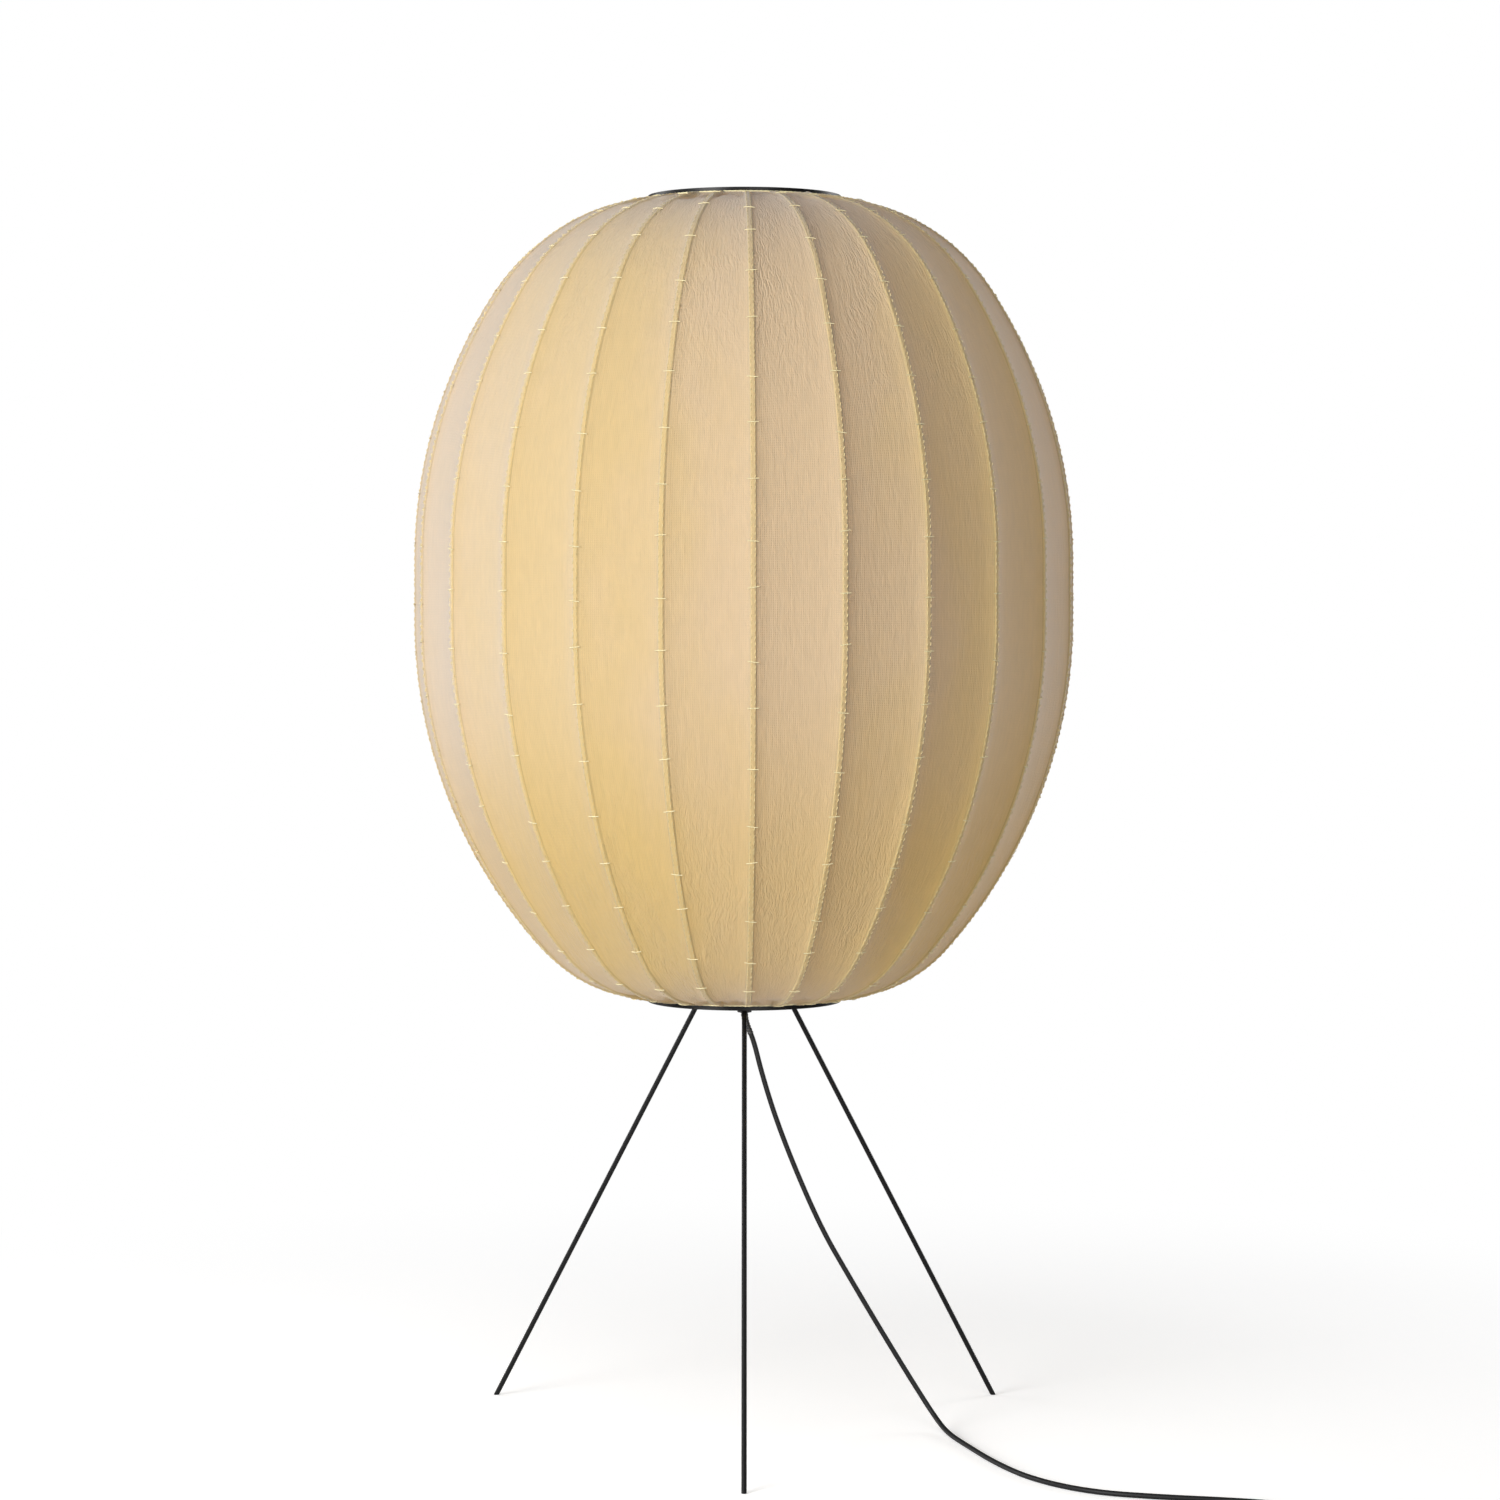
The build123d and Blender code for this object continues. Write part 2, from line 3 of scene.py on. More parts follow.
import bmesh
import bpy
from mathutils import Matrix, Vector


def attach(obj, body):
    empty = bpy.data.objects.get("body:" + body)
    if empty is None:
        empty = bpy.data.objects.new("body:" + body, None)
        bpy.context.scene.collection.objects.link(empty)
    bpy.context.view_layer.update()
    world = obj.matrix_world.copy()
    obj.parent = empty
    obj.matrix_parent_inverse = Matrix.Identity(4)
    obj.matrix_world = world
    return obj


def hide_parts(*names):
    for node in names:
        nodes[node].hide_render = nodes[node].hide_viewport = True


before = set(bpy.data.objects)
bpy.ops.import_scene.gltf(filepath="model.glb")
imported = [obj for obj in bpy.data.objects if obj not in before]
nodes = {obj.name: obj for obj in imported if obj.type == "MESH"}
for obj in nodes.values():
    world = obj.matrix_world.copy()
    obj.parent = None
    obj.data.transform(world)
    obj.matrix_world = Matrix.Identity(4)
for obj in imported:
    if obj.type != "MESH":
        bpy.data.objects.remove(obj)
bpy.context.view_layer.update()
scene = bpy.context.scene

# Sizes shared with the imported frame
total_height = 1.2035
cover_radius = 0.323
ring_underside = 0.4158
rib_count = 24
first_rib = radians(-88.5)
ring_radius = 0.0945
low_band = 0.0041
knit_outside = 0.0021
band_middle = 0.818
band_height = 0.0594
side_radius = 0.476
top_side_turn = radians(33.2)
bottom_side_turn = radians(41.9)
grip_bottom = 0.4043
cord_radius = 0.0025

# How far the top hem lies below the top of its ring, which is 0.7 mm more than in the frame
top_band = 0.0034

# Camera: level, at the photograph's distance, height and angle of view
camera_data = bpy.data.cameras.new("camera")
camera_data.sensor_width = 36
camera_data.lens = 94.3
camera_data.shift_y = -0.1067
camera_data.clip_end = 60
camera = bpy.data.objects.new("camera", camera_data)
camera.location = (0.0054, -3.85, 0.818)
camera.rotation_euler = (radians(90), 0, 0)
scene.collection.objects.link(camera)
scene.camera = camera


def connect(tree, socket, value):
    """Feed a socket from another socket, or set its own value."""
    if isinstance(value, bpy.types.NodeSocket):
        tree.links.new(value, socket)
    else:
        socket.default_value = value


def add_node(tree, kind, options=None, sockets=None):
    """A node with its options set and its sockets fed, by name or number."""
    node = tree.nodes.new(kind)
    for name, value in (options or {}).items():
        setattr(node, name, value)
    for key, value in (sockets or {}).items():
        connect(tree, node.inputs[key], value)
    return node


def calc(tree, operation, *values):
    """One step of arithmetic in a tree."""
    node = add_node(tree, "ShaderNodeMath", {"operation": operation})
    for socket, value in zip(node.inputs, values):
        connect(tree, socket, value)
    return node.outputs[0]


def times(tree, first, second):
    """Two values multiplied."""
    return calc(tree, "MULTIPLY", first, second)


def ease(tree, value, low, high, start=0.0, end=1.0):
    """A smooth step of a value from one level to another between two limits."""
    options = {"interpolation_type": "SMOOTHSTEP"}
    sockets = {0: value, 1: low, 2: high, 3: start, 4: end}
    return add_node(tree, "ShaderNodeMapRange", options, sockets).outputs[0]


def place(tree, x, y, z):
    """A point from its three numbers."""
    return add_node(tree, "ShaderNodeCombineXYZ", sockets={0: x, 1: y, 2: z}).outputs[0]


def parts_of(tree, point):
    """The three numbers of a point."""
    return add_node(tree, "ShaderNodeSeparateXYZ", sockets={0: point}).outputs


def noise(tree, point, scale=1.0, detail=2.0, distortion=0.0):
    """The value of a noise texture at a point."""
    sockets = {"Vector": point, "Scale": scale, "Detail": detail, "Distortion": distortion}
    return add_node(tree, "ShaderNodeTexNoise", sockets=sockets).outputs[0]


def scaled(tree, colour, share):
    """A colour made lighter or darker by a share."""
    sockets = {0: colour, "Scale": share}
    return add_node(tree, "ShaderNodeVectorMath", {"operation": "SCALE"}, sockets).outputs[0]


def blend(tree, share, first, second, kind="MIX"):
    """The first colour, mixed with the second or multiplied by it, as far as a share says."""
    options = {"data_type": "RGBA", "blend_type": kind}
    return add_node(tree, "ShaderNodeMix", options, {0: share, 6: first, 7: second}).outputs[2]


def unit_grid(tree, columns, rows):
    """A flat grid of points, 1 m each way."""
    sockets = {"Size X": 1.0, "Size Y": 1.0, "Vertices X": columns, "Vertices Y": rows}
    return add_node(tree, "GeometryNodeMeshGrid", sockets=sockets).outputs["Mesh"]


def circle(tree, sides, radius):
    """A circle of straight sides."""
    sockets = {"Resolution": sides, "Radius": radius}
    return add_node(tree, "GeometryNodeCurvePrimitiveCircle", sockets=sockets).outputs[0]


def swept(tree, line, section, caps, scale=1.0):
    """A surface along a line with a given section, which may swell or narrow along it."""
    sockets = {"Curve": line, "Profile Curve": section, "Scale": scale, "Fill Caps": caps}
    return add_node(tree, "GeometryNodeCurveToMesh", sockets=sockets).outputs[0]


def repeated(tree, piece, points, rotation):
    """One piece set at each point, turned as given."""
    sockets = {"Points": points, "Instance": piece, "Rotation": rotation}
    return add_node(tree, "GeometryNodeInstanceOnPoints", sockets=sockets).outputs[0]


def stored(tree, geometry, label, value, kind, domain, selection=True):
    """Geometry that carries a value under a label, on the faces or points selected."""
    options = {"data_type": kind, "domain": domain}
    sockets = {"Geometry": geometry, "Selection": selection, "Name": label, "Value": value}
    return add_node(tree, "GeometryNodeStoreNamedAttribute", options, sockets).outputs[0]


def moved_to(tree, geometry, point):
    """Geometry with its points moved to new places."""
    sockets = {"Geometry": geometry, "Position": point}
    return add_node(tree, "GeometryNodeSetPosition", sockets=sockets).outputs[0]


def finished(tree, geometry, material, smooth=True):
    """Real geometry in its material, shaded smooth or flat."""
    real = add_node(tree, "GeometryNodeRealizeInstances", sockets={0: geometry})
    shading = {"Geometry": real.outputs[0], "Shade Smooth": smooth}
    shaded = add_node(tree, "GeometryNodeSetShadeSmooth", sockets=shading)
    finish = {"Geometry": shaded.outputs[0], "Material": material}
    return add_node(tree, "GeometryNodeSetMaterial", sockets=finish).outputs[0]


SOCKET_KINDS = {
    int: "NodeSocketInt",
    float: "NodeSocketFloat",
    bpy.types.Material: "NodeSocketMaterial",
}


def grow(name, draw, line=None, **sizes):
    """A plain mesh piece made by a node tree whose named inputs are its sizes."""
    tree = bpy.data.node_groups.new(name, "GeometryNodeTree")
    tree.interface.new_socket("line", in_out="INPUT", socket_type="NodeSocketGeometry")
    sockets = {}
    for label, value in sizes.items():
        kind = SOCKET_KINDS[type(value)]
        sockets[label] = tree.interface.new_socket(label, in_out="INPUT", socket_type=kind)
    tree.interface.new_socket("piece", in_out="OUTPUT", socket_type="NodeSocketGeometry")
    given = tree.nodes.new("NodeGroupInput").outputs
    tree.links.new(draw(tree, given), tree.nodes.new("NodeGroupOutput").inputs[0])
    start = bpy.data.objects.new(f"{name}_start", line or bpy.data.meshes.new(name))
    scene.collection.objects.link(start)
    modifier = start.modifiers.new("shape", "NODES")
    modifier.node_group = tree
    for label, value in sizes.items():
        modifier[sockets[label].identifier] = value
    depsgraph = bpy.context.evaluated_depsgraph_get()
    mesh = bpy.data.meshes.new_from_object(start.evaluated_get(depsgraph))
    bpy.data.objects.remove(start)
    piece = bpy.data.objects.new(name, mesh)
    scene.collection.objects.link(piece)
    return piece


# How much coarser the changes of tone are than a finish's grain, and how far its gloss changes
tone_fineness = 0.03
gloss_change = 0.3


def new_finish(
    name, colour, roughness, grain=0.001, depth=0.00002, tone=0.06, metallic=0.0, gloss=0.5
):
    """A finish with a fine grain, and slight changes of tone and gloss over its surface."""
    material = bpy.data.materials.new(name)
    material.use_nodes = True
    tree = material.node_tree
    shader = tree.nodes["Principled BSDF"]
    shader.inputs["Metallic"].default_value = metallic
    shader.inputs["Specular IOR Level"].default_value = gloss
    spot = add_node(tree, "ShaderNodeTexCoord").outputs["Object"]
    fine = noise(tree, spot, scale=1 / grain, detail=3.0)
    broad = noise(tree, spot, scale=tone_fineness / grain, detail=4.0)
    shade = calc(tree, "MULTIPLY_ADD", broad, 2 * tone, 1 - tone)
    connect(tree, shader.inputs["Base Color"], scaled(tree, colour, shade))
    least_roughness = (1 - gloss_change / 2) * roughness
    uneven = calc(tree, "MULTIPLY_ADD", broad, gloss_change * roughness, least_roughness)
    connect(tree, shader.inputs["Roughness"], uneven)
    bump = add_node(
        tree, "ShaderNodeBump", sockets={"Strength": 1.0, "Distance": depth, "Height": fine}
    )
    connect(tree, shader.inputs["Normal"], bump.outputs[0])
    return material


# Finishes of the hard pieces, the cord and the threads
black_paint = new_finish(
    "black_paint", (0.005, 0.005, 0.0053), 0.4, grain=0.0015, depth=0.000003, tone=0.03, gloss=0.2
)
zinc = new_finish("zinc", (0.56, 0.57, 0.58), 0.34, grain=0.0008, metallic=1.0)
brass = new_finish("brass", (0.72, 0.5, 0.22), 0.3, grain=0.0008, metallic=1.0)
bright_nickel = new_finish("bright_nickel", (0.66, 0.64, 0.6), 0.22, grain=0.0006, metallic=1.0)
cap_metal = new_finish("cap_metal", (0.7, 0.7, 0.69), 0.28, grain=0.0008, metallic=1.0)
rib_coat = new_finish("rib_coat", (0.62, 0.5, 0.3), 0.5, grain=0.001)
black_moulding = new_finish(
    "black_moulding", (0.018, 0.018, 0.018), 0.46, grain=0.0005, depth=0.00003
)
holder_moulding = new_finish("holder_moulding", (0.02, 0.019, 0.018), 0.3, grain=0.0009)
button_moulding = new_finish("button_moulding", (0.03, 0.03, 0.031), 0.36, grain=0.0006)
pale_ceramic = new_finish("pale_ceramic", (0.74, 0.72, 0.66), 0.4, grain=0.0007)
cord_skin = new_finish(
    "cord_skin", (0.006, 0.006, 0.0065), 0.5, grain=0.0007, depth=0.00001, gloss=0.25
)
opal_glass = new_finish(
    "opal_glass", (0.9, 0.9, 0.88), 0.18, grain=0.002, depth=0.00001, tone=0.01
)
thread_yellow = new_finish("thread_yellow", (0.7, 0.58, 0.3), 0.8, grain=0.0006, depth=0.00005)
thread_pale = new_finish("thread_pale", (0.76, 0.67, 0.40), 0.8, grain=0.0006, depth=0.00005)

node_finishes = [
    (black_paint, ["top_ring", "lower_frame", "leg_1", "leg_2", "leg_3"]),
    (zinc, ["nipple", "nipple_nut", "switch_screws"]),
    (black_moulding, ["cord_grip", "switch_base", "switch_cover", "switch_module", "plug_body"]),
    (holder_moulding, ["holder_shell"]),
    (button_moulding, ["switch_button"]),
    (pale_ceramic, ["contact_block"]),
    (brass, ["contact_strip"]),
    (cap_metal, ["bulb_cap"]),
    (opal_glass, ["bulb_body"]),
    (bright_nickel, ["plug_pins"]),
]
for node_finish, node_names in node_finishes:
    for node_name in node_names:
        for slot in nodes[node_name].material_slots:
            slot.material = node_finish

# The cord's points from the grip to the foot switch, through it, and on to the coil
switch_inlet = (0.456, -0.455, 0.008)
switch_outlet = (0.384, -0.455, 0.008)
cord_points = [
    (0, 0, grip_bottom),
    (0, 0, 0.3963),
    (0.0085, 0, 0.379),
    (0.0165, -0.001, 0.346),
    (0.031, -0.001, 0.299),
    (0.053, -0.002, 0.243),
    (0.077, -0.004, 0.190),
    (0.099, -0.005, 0.152),
    (0.131, -0.007, 0.098),
    (0.163, -0.009, 0.046),
    (0.187, -0.014, 0.009),
    (0.197, -0.052, cord_radius),
    (0.213, -0.108, cord_radius),
    (0.234, -0.178, cord_radius),
    (0.264, -0.247, cord_radius),
    (0.313, -0.298, cord_radius),
    (0.376, -0.318, cord_radius),
    (0.442, -0.331, cord_radius),
    (0.494, -0.349, cord_radius),
    (0.522, -0.392, cord_radius),
    (0.512, -0.437, 0.0035),
    (0.478, -0.455, 0.008),
    switch_inlet,
    (0.420, -0.455, 0.008),
    switch_outlet,
    (0.373, -0.455, 0.008),
    (0.342, -0.455, cord_radius),
]

# The coil's half turns: their radii, and the heights at which they start and end
coil_middle_x = 0.305
coil_start_y = -0.455
lay_height = 0.008
coil_half_turns = [
    (0.03275, cord_radius, cord_radius),
    (0.0300, cord_radius, cord_radius),
    (0.02725, cord_radius, cord_radius),
    (0.0245, cord_radius, lay_height),
    (0.02725, lay_height, lay_height),
    (0.0300, lay_height, lay_height),
]
coil_steps = 6
coil_draw = 1 / cos(pi / 2 / coil_steps)
turn_start_y = coil_start_y
for index, (radius, low, high) in enumerate(coil_half_turns):
    side = 1 if index % 2 else -1
    turn_middle_y = turn_start_y + side * radius
    for step in range(coil_steps):
        angle = pi / 2 + index * pi + pi * step / coil_steps
        cord_points.append(
            (
                coil_middle_x + coil_draw * radius * cos(angle),
                turn_middle_y + coil_draw * radius * sin(angle),
                low + (high - low) * step / coil_steps,
            )
        )
    turn_start_y += 2 * side * radius
cord_points += [
    (coil_middle_x - 0.004, turn_start_y, lay_height),
    (0.270, turn_start_y, lay_height),
    (0.256, turn_start_y, lay_height),
]

# Cord: one smooth line through all of those points
cord_data = bpy.data.curves.new("mains_cord", "CURVE")
cord_data.dimensions = "3D"
cord_spline = cord_data.splines.new("NURBS")
cord_spline.points.add(len(cord_points) - 1)
for spline_point, cord_point in zip(cord_spline.points, cord_points):
    spline_point.co = (*cord_point, 1)
cord_spline.order_u = 3
cord_spline.use_endpoint_u = True
cord_spline.resolution_u = 6
bare_line = cord_data.copy()
cord_data.bevel_depth = cord_radius
cord_data.bevel_resolution = 3
cord_data.use_fill_caps = True
cord_data.materials.append(cord_skin)
cord = bpy.data.objects.new("mains_cord", cord_data)
scene.collection.objects.link(cord)
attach(cord, "lamp")
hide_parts("cord_lead", "cord_coil")


def line_samples(data):
    """Points of a curve's evaluated line with their lengths along it."""
    helper = bpy.data.objects.new("helper", data)
    scene.collection.objects.link(helper)
    depsgraph = bpy.context.evaluated_depsgraph_get()
    mesh = bpy.data.meshes.new_from_object(helper.evaluated_get(depsgraph))
    spots = [vertex.co.copy() for vertex in mesh.vertices]
    bpy.data.objects.remove(helper)
    bpy.data.meshes.remove(mesh)
    lengths = [0.0]
    for before, after in zip(spots, spots[1:]):
        lengths.append(lengths[-1] + (after - before).length)
    return list(zip(spots, lengths))


cord_samples = line_samples(bare_line)


def cord_length_at(spot):
    """How far along the cord a point on it lies."""
    return min(cord_samples, key=lambda sample: (sample[0] - Vector(spot)).length)[1]


def draw_sleeve(tree, given):
    """A tapered sleeve with cut rings, along a stretch of the cord."""
    cut = add_node(
        tree,
        "GeometryNodeTrimCurve",
        {"mode": "LENGTH"},
        {"Curve": given["line"], 4: given["start"], 5: given["end"]},
    )
    even = add_node(
        tree,
        "GeometryNodeResampleCurve",
        sockets={"Curve": cut.outputs[0], "Count": given["samples"]},
    )
    along = add_node(tree, "GeometryNodeSplineParameter").outputs["Factor"]
    widening = calc(tree, "SUBTRACT", given["end_radius"], given["start_radius"])
    taper = calc(tree, "MULTIPLY_ADD", along, widening, given["start_radius"])
    wave = calc(tree, "SINE", times(tree, along, given["rings_turn"]))
    groove = times(tree, ease(tree, wave, 0.2, 0.7), given["groove_depth"])
    radius = calc(tree, "SUBTRACT", taper, groove)
    body = swept(tree, even.outputs[0], circle(tree, given["sides"], 1.0), True, radius)
    return finished(tree, body, given["material"])


# Sleeves on the cord: their length and cut rings, and how far they run into a gland
sleeve_length = 0.022
sleeve_rings = 7
gland_run = 0.001


def add_sleeve(name, start, end, start_radius, end_radius):
    """A strain relief on the cord between two lengths along it."""
    sleeve = grow(
        name,
        draw_sleeve,
        bare_line,
        start=start,
        end=end,
        start_radius=start_radius,
        end_radius=end_radius,
        rings_turn=2 * pi * sleeve_rings,
        groove_depth=0.0004,
        samples=49,
        sides=20,
        material=black_moulding,
    )
    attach(sleeve, "lamp")
    return sleeve


inlet_length = cord_length_at(switch_inlet)
outlet_length = cord_length_at(switch_outlet)
grip_sleeve = add_sleeve("grip_sleeve", 0.0005, sleeve_length, 0.0036, 0.0029)
inlet_sleeve = add_sleeve(
    "inlet_sleeve", inlet_length - sleeve_length, inlet_length + gland_run, 0.0031, 0.0045
)
outlet_sleeve = add_sleeve(
    "outlet_sleeve", outlet_length - gland_run, outlet_length + sleeve_length, 0.0045, 0.0031
)


def heading(angle):
    """The direction at an angle above level, in the upright plane of a rib."""
    return Vector((cos(angle), sin(angle)))


# Steps in each arc of the ribs' line
arc_steps = 30


def half_bow(side_turn, rise):
    """Points of the ribs' line from the band's edge to a ring, on two arcs that run on."""
    side_middle = Vector((cover_radius - knit_outside - side_radius, 0))
    turn_point = side_middle + heading(side_turn) * side_radius
    run = Vector((ring_radius, rise)) - turn_point
    crown_radius = -run.dot(run) / (2 * run.dot(heading(side_turn)))
    crown_middle = turn_point - heading(side_turn) * crown_radius
    end = Vector((ring_radius, rise)) - crown_middle
    crown_turn = atan2(end.y, end.x) - side_turn
    points = []
    for step in range(arc_steps):
        points.append(side_middle + heading(side_turn * step / arc_steps) * side_radius)
    for step in range(arc_steps + 1):
        angle = side_turn + crown_turn * step / arc_steps
        points.append(crown_middle + heading(angle) * crown_radius)
    return points


def bow_line():
    """A curve along the ribs' line, from the lower ring to the upper, in the plane y = 0."""
    band_low = band_middle - band_height / 2
    band_high = band_middle + band_height / 2
    lower = half_bow(bottom_side_turn, band_low - ring_underside - low_band - knit_outside)
    upper = half_bow(top_side_turn, total_height - top_band - knit_outside - band_high)
    points = [(point.x, band_low - point.y) for point in reversed(lower)]
    points += [(point.x, band_high + point.y) for point in upper]
    data = bpy.data.curves.new("bow", "CURVE")
    data.dimensions = "3D"
    spline = data.splines.new("POLY")
    spline.points.add(len(points) - 1)
    for spline_point, (radius, height) in zip(spline.points, points):
        spline_point.co = (radius, 0, height, 1)
    return data


rib_line = bow_line()
bow_length = line_samples(rib_line)[-1][1]


def on_bow(tree, line, share):
    """A point on the ribs' line at a share of its length, and the outward direction there."""
    sample = add_node(
        tree, "GeometryNodeSampleCurve", {"mode": "FACTOR"}, {"Curves": line, "Factor": share}
    )
    point = parts_of(tree, sample.outputs["Position"])
    run = parts_of(tree, sample.outputs["Tangent"])
    return point[0], point[2], run[2], times(tree, run[0], -1.0)


# Points of the knit that lie closer together than this are made one
weld_distance = 0.00002


def welded(tree, geometry):
    """Geometry with the points that meet made one."""
    sockets = {"Geometry": geometry, "Distance": weld_distance}
    return add_node(tree, "GeometryNodeMergeByDistance", sockets=sockets).outputs[0]


# How the cover's rows and columns are spread: closer at the hems, and over the casings
row_crowding = 0.6
close_columns = 0.625

# How the cover leaves the ring, the crests of its casings, and the folds near its hems
ring_leave = 0.022
crest_width = 0.0009
crest_rise = 0.35
casing_rise = 0.75
fold_start = 0.001
fold_full = 0.014
fold_fade = 0.016
fold_rate = 18.0
fold_level = 0.62


def draw_cover(tree, given):
    """The knit: a grid wrapped round the ribs, raised over each and a little hollow between."""
    columns = times(tree, given["ribs"], given["columns"])
    grid = unit_grid(tree, calc(tree, "ADD", columns, 1.0), given["rows"])
    spot = parts_of(tree, add_node(tree, "GeometryNodeInputPosition").outputs[0])
    share_round = times(tree, calc(tree, "ADD", spot[0], 0.5), given["ribs"])
    even_up = calc(tree, "ADD", spot[1], 0.5)
    sway = calc(tree, "SINE", times(tree, even_up, 2 * pi))
    share_up = calc(tree, "MULTIPLY_ADD", sway, -row_crowding / (2 * pi), even_up)
    rib = calc(tree, "FLOOR", calc(tree, "ADD", share_round, 0.0001))
    gore = calc(tree, "SUBTRACT", share_round, rib)
    radius, height, out_x, out_z = on_bow(tree, given["line"], share_up)

    # Across a gore: close columns over the ribs' casings, wide ones between
    turn = calc(tree, "DIVIDE", 2 * pi, given["ribs"])
    half_turn = times(tree, turn, 0.5)
    half_width = times(tree, times(tree, radius, turn), 0.5)
    from_middle = calc(tree, "MULTIPLY_ADD", gore, 2.0, -1.0)
    side = calc(tree, "SIGN", from_middle)
    from_rib = calc(tree, "SUBTRACT", 1.0, calc(tree, "ABSOLUTE", from_middle))
    near = calc(tree, "MINIMUM", calc(tree, "DIVIDE", from_rib, close_columns), 1.0)
    beyond = calc(tree, "SUBTRACT", from_rib, close_columns)
    far = calc(tree, "MAXIMUM", calc(tree, "DIVIDE", beyond, 1 - close_columns), 0.0)
    open_width = calc(tree, "SUBTRACT", half_width, given["casing_zone"])
    far_width = times(tree, far, open_width)
    across = calc(tree, "MULTIPLY_ADD", near, given["casing_zone"], far_width)
    away = calc(tree, "SUBTRACT", 1.0, calc(tree, "DIVIDE", across, half_width))
    angle_in = times(tree, times(tree, side, away), half_turn)
    middle_turn = calc(tree, "MULTIPLY_ADD", calc(tree, "ADD", rib, 0.5), turn, given["first_rib"])
    angle = calc(tree, "ADD", middle_turn, angle_in)
    cos_turn = calc(tree, "COSINE", angle)
    sin_turn = calc(tree, "SINE", angle)

    # Distance from the nearer hem, and how far the knit has left the round ring there
    up = times(tree, share_up, given["bow_length"])
    from_hem = calc(tree, "MINIMUM", up, calc(tree, "SUBTRACT", given["bow_length"], up))
    free = ease(tree, from_hem, 0.0, ring_leave)
    straight = calc(
        tree, "DIVIDE", calc(tree, "COSINE", half_turn), calc(tree, "COSINE", angle_in)
    )
    straight_free = calc(tree, "MULTIPLY_ADD", calc(tree, "SUBTRACT", straight, 1.0), free, 1.0)

    # Casing: a flat raised band with a crest at each edge
    band = ease(tree, across, given["casing_half"], given["casing_zone"], 1.0, 0.0)
    off_crest = calc(tree, "ABSOLUTE", calc(tree, "SUBTRACT", across, given["casing_half"]))
    crest = ease(tree, off_crest, 0.0, crest_width, 1.0, 0.0)
    band_step = times(tree, band, casing_rise)
    casing = calc(tree, "MULTIPLY_ADD", crest, crest_rise, band_step)
    casing_step = times(tree, calc(tree, "MINIMUM", casing, 1.0), given["casing_height"])

    # Hollow between the ribs
    fullness = calc(tree, "DIVIDE", radius, given["widest"])
    hollow = times(
        tree,
        calc(tree, "SUBTRACT", 1.0, times(tree, away, away)),
        times(tree, fullness, given["hollow"]),
    )

    # Pleats that gather towards the hems, on the open knit only
    round_spot = place(
        tree,
        times(tree, cos_turn, given["pleat_count"]),
        times(tree, sin_turn, given["pleat_count"]),
        times(tree, share_up, fold_rate),
    )
    fold = noise(tree, round_spot)
    gather = times(
        tree,
        ease(tree, from_hem, fold_start, fold_full),
        ease(tree, from_hem, fold_fade, given["pleat_reach"], 1.0, 0.0),
    )
    pleat = times(
        tree,
        times(tree, gather, calc(tree, "SUBTRACT", 1.0, band)),
        times(tree, calc(tree, "SUBTRACT", fold, fold_level), given["pleat_depth"]),
    )

    # Each point, moved out from the ribs' line
    sunk = calc(tree, "SUBTRACT", casing_step, times(tree, hollow, free))
    base = calc(tree, "SUBTRACT", given["outset"], given["casing_height"])
    lift = calc(tree, "ADD", calc(tree, "ADD", base, sunk), pleat)
    wide = times(tree, calc(tree, "MULTIPLY_ADD", out_x, lift, radius), straight_free)
    point = place(
        tree,
        times(tree, wide, cos_turn),
        times(tree, wide, sin_turn),
        calc(tree, "MULTIPLY_ADD", out_z, lift, height),
    )

    # The knit's own coordinates in metres, and where its casings run, kept for its finish
    own = place(tree, times(tree, angle, given["widest"]), up, 0.0)
    mapped = stored(tree, grid, "UVMap", own, "FLOAT2", "CORNER")
    marked = stored(tree, mapped, "casing", band, "FLOAT", "POINT")
    outer = welded(tree, moved_to(tree, marked, point))

    # The inner face, a knit's thickness further in
    inner = add_node(
        tree,
        "GeometryNodeExtrudeMesh",
        {"mode": "FACES"},
        {
            "Mesh": outer,
            "Offset Scale": times(tree, given["thickness"], -1.0),
            "Individual": False,
        },
    )
    marked_inside = stored(
        tree, inner.outputs["Mesh"], "inside", 1.0, "FLOAT", "FACE", inner.outputs["Top"]
    )
    turned = add_node(tree, "GeometryNodeFlipFaces", sockets={0: marked_inside})
    both = add_node(tree, "GeometryNodeJoinGeometry")
    tree.links.new(outer, both.inputs[0])
    tree.links.new(turned.outputs[0], both.inputs[0])
    return finished(tree, welded(tree, both.outputs[0]), given["material"])


# Size of the knit's stitches, and how far each kind of unevenness stands out
stitch_width = 0.002
stitch_rise = 0.0016
stitch_depth = 0.0001
streak_depth = 0.00055
crinkle_depth = 0.0016
comb_depth = 0.0005

# Colours of the knit, how far a casing takes its own, and tones of its low end and its light
yellow_straw = (0.70, 0.57, 0.305, 1)
pinker_straw = (0.70, 0.58, 0.40, 1)
casing_straw = (0.72, 0.6, 0.29, 1)
casing_share = 0.55
low_tone = (1.0, 0.96, 0.73, 1)
# The pale colour of the painted sheen, mixed in where the knit is seen edge on
painted_sheen_colour = (0.86, 0.86, 0.81, 1)
light_tone = (1.12, 1.0, 0.82, 1)
inner_colour = (0.94, 0.9, 0.82, 1)

# Bands of pinker straw round the shade: how many, where they start, and how strong they are
band_count = 4
band_start = radians(320)
band_strength = 0.42

# How far streaks lighten or darken the colour, and how far painted light and shade on the stitches
# and painted shade in the grooves beside the casings change it
plain_shade = 0.97
streak_shade = 0.16
stitch_painted_shading = 0.09
groove_painted_shade = -0.16

# How the painted sheen shows towards the edge, how that fades low down, and the share of light let
# through
painted_sheen_power = 1.7
low_painted_sheen_loss = -0.65
through_share = 0.5
inner_through_share = 0.15


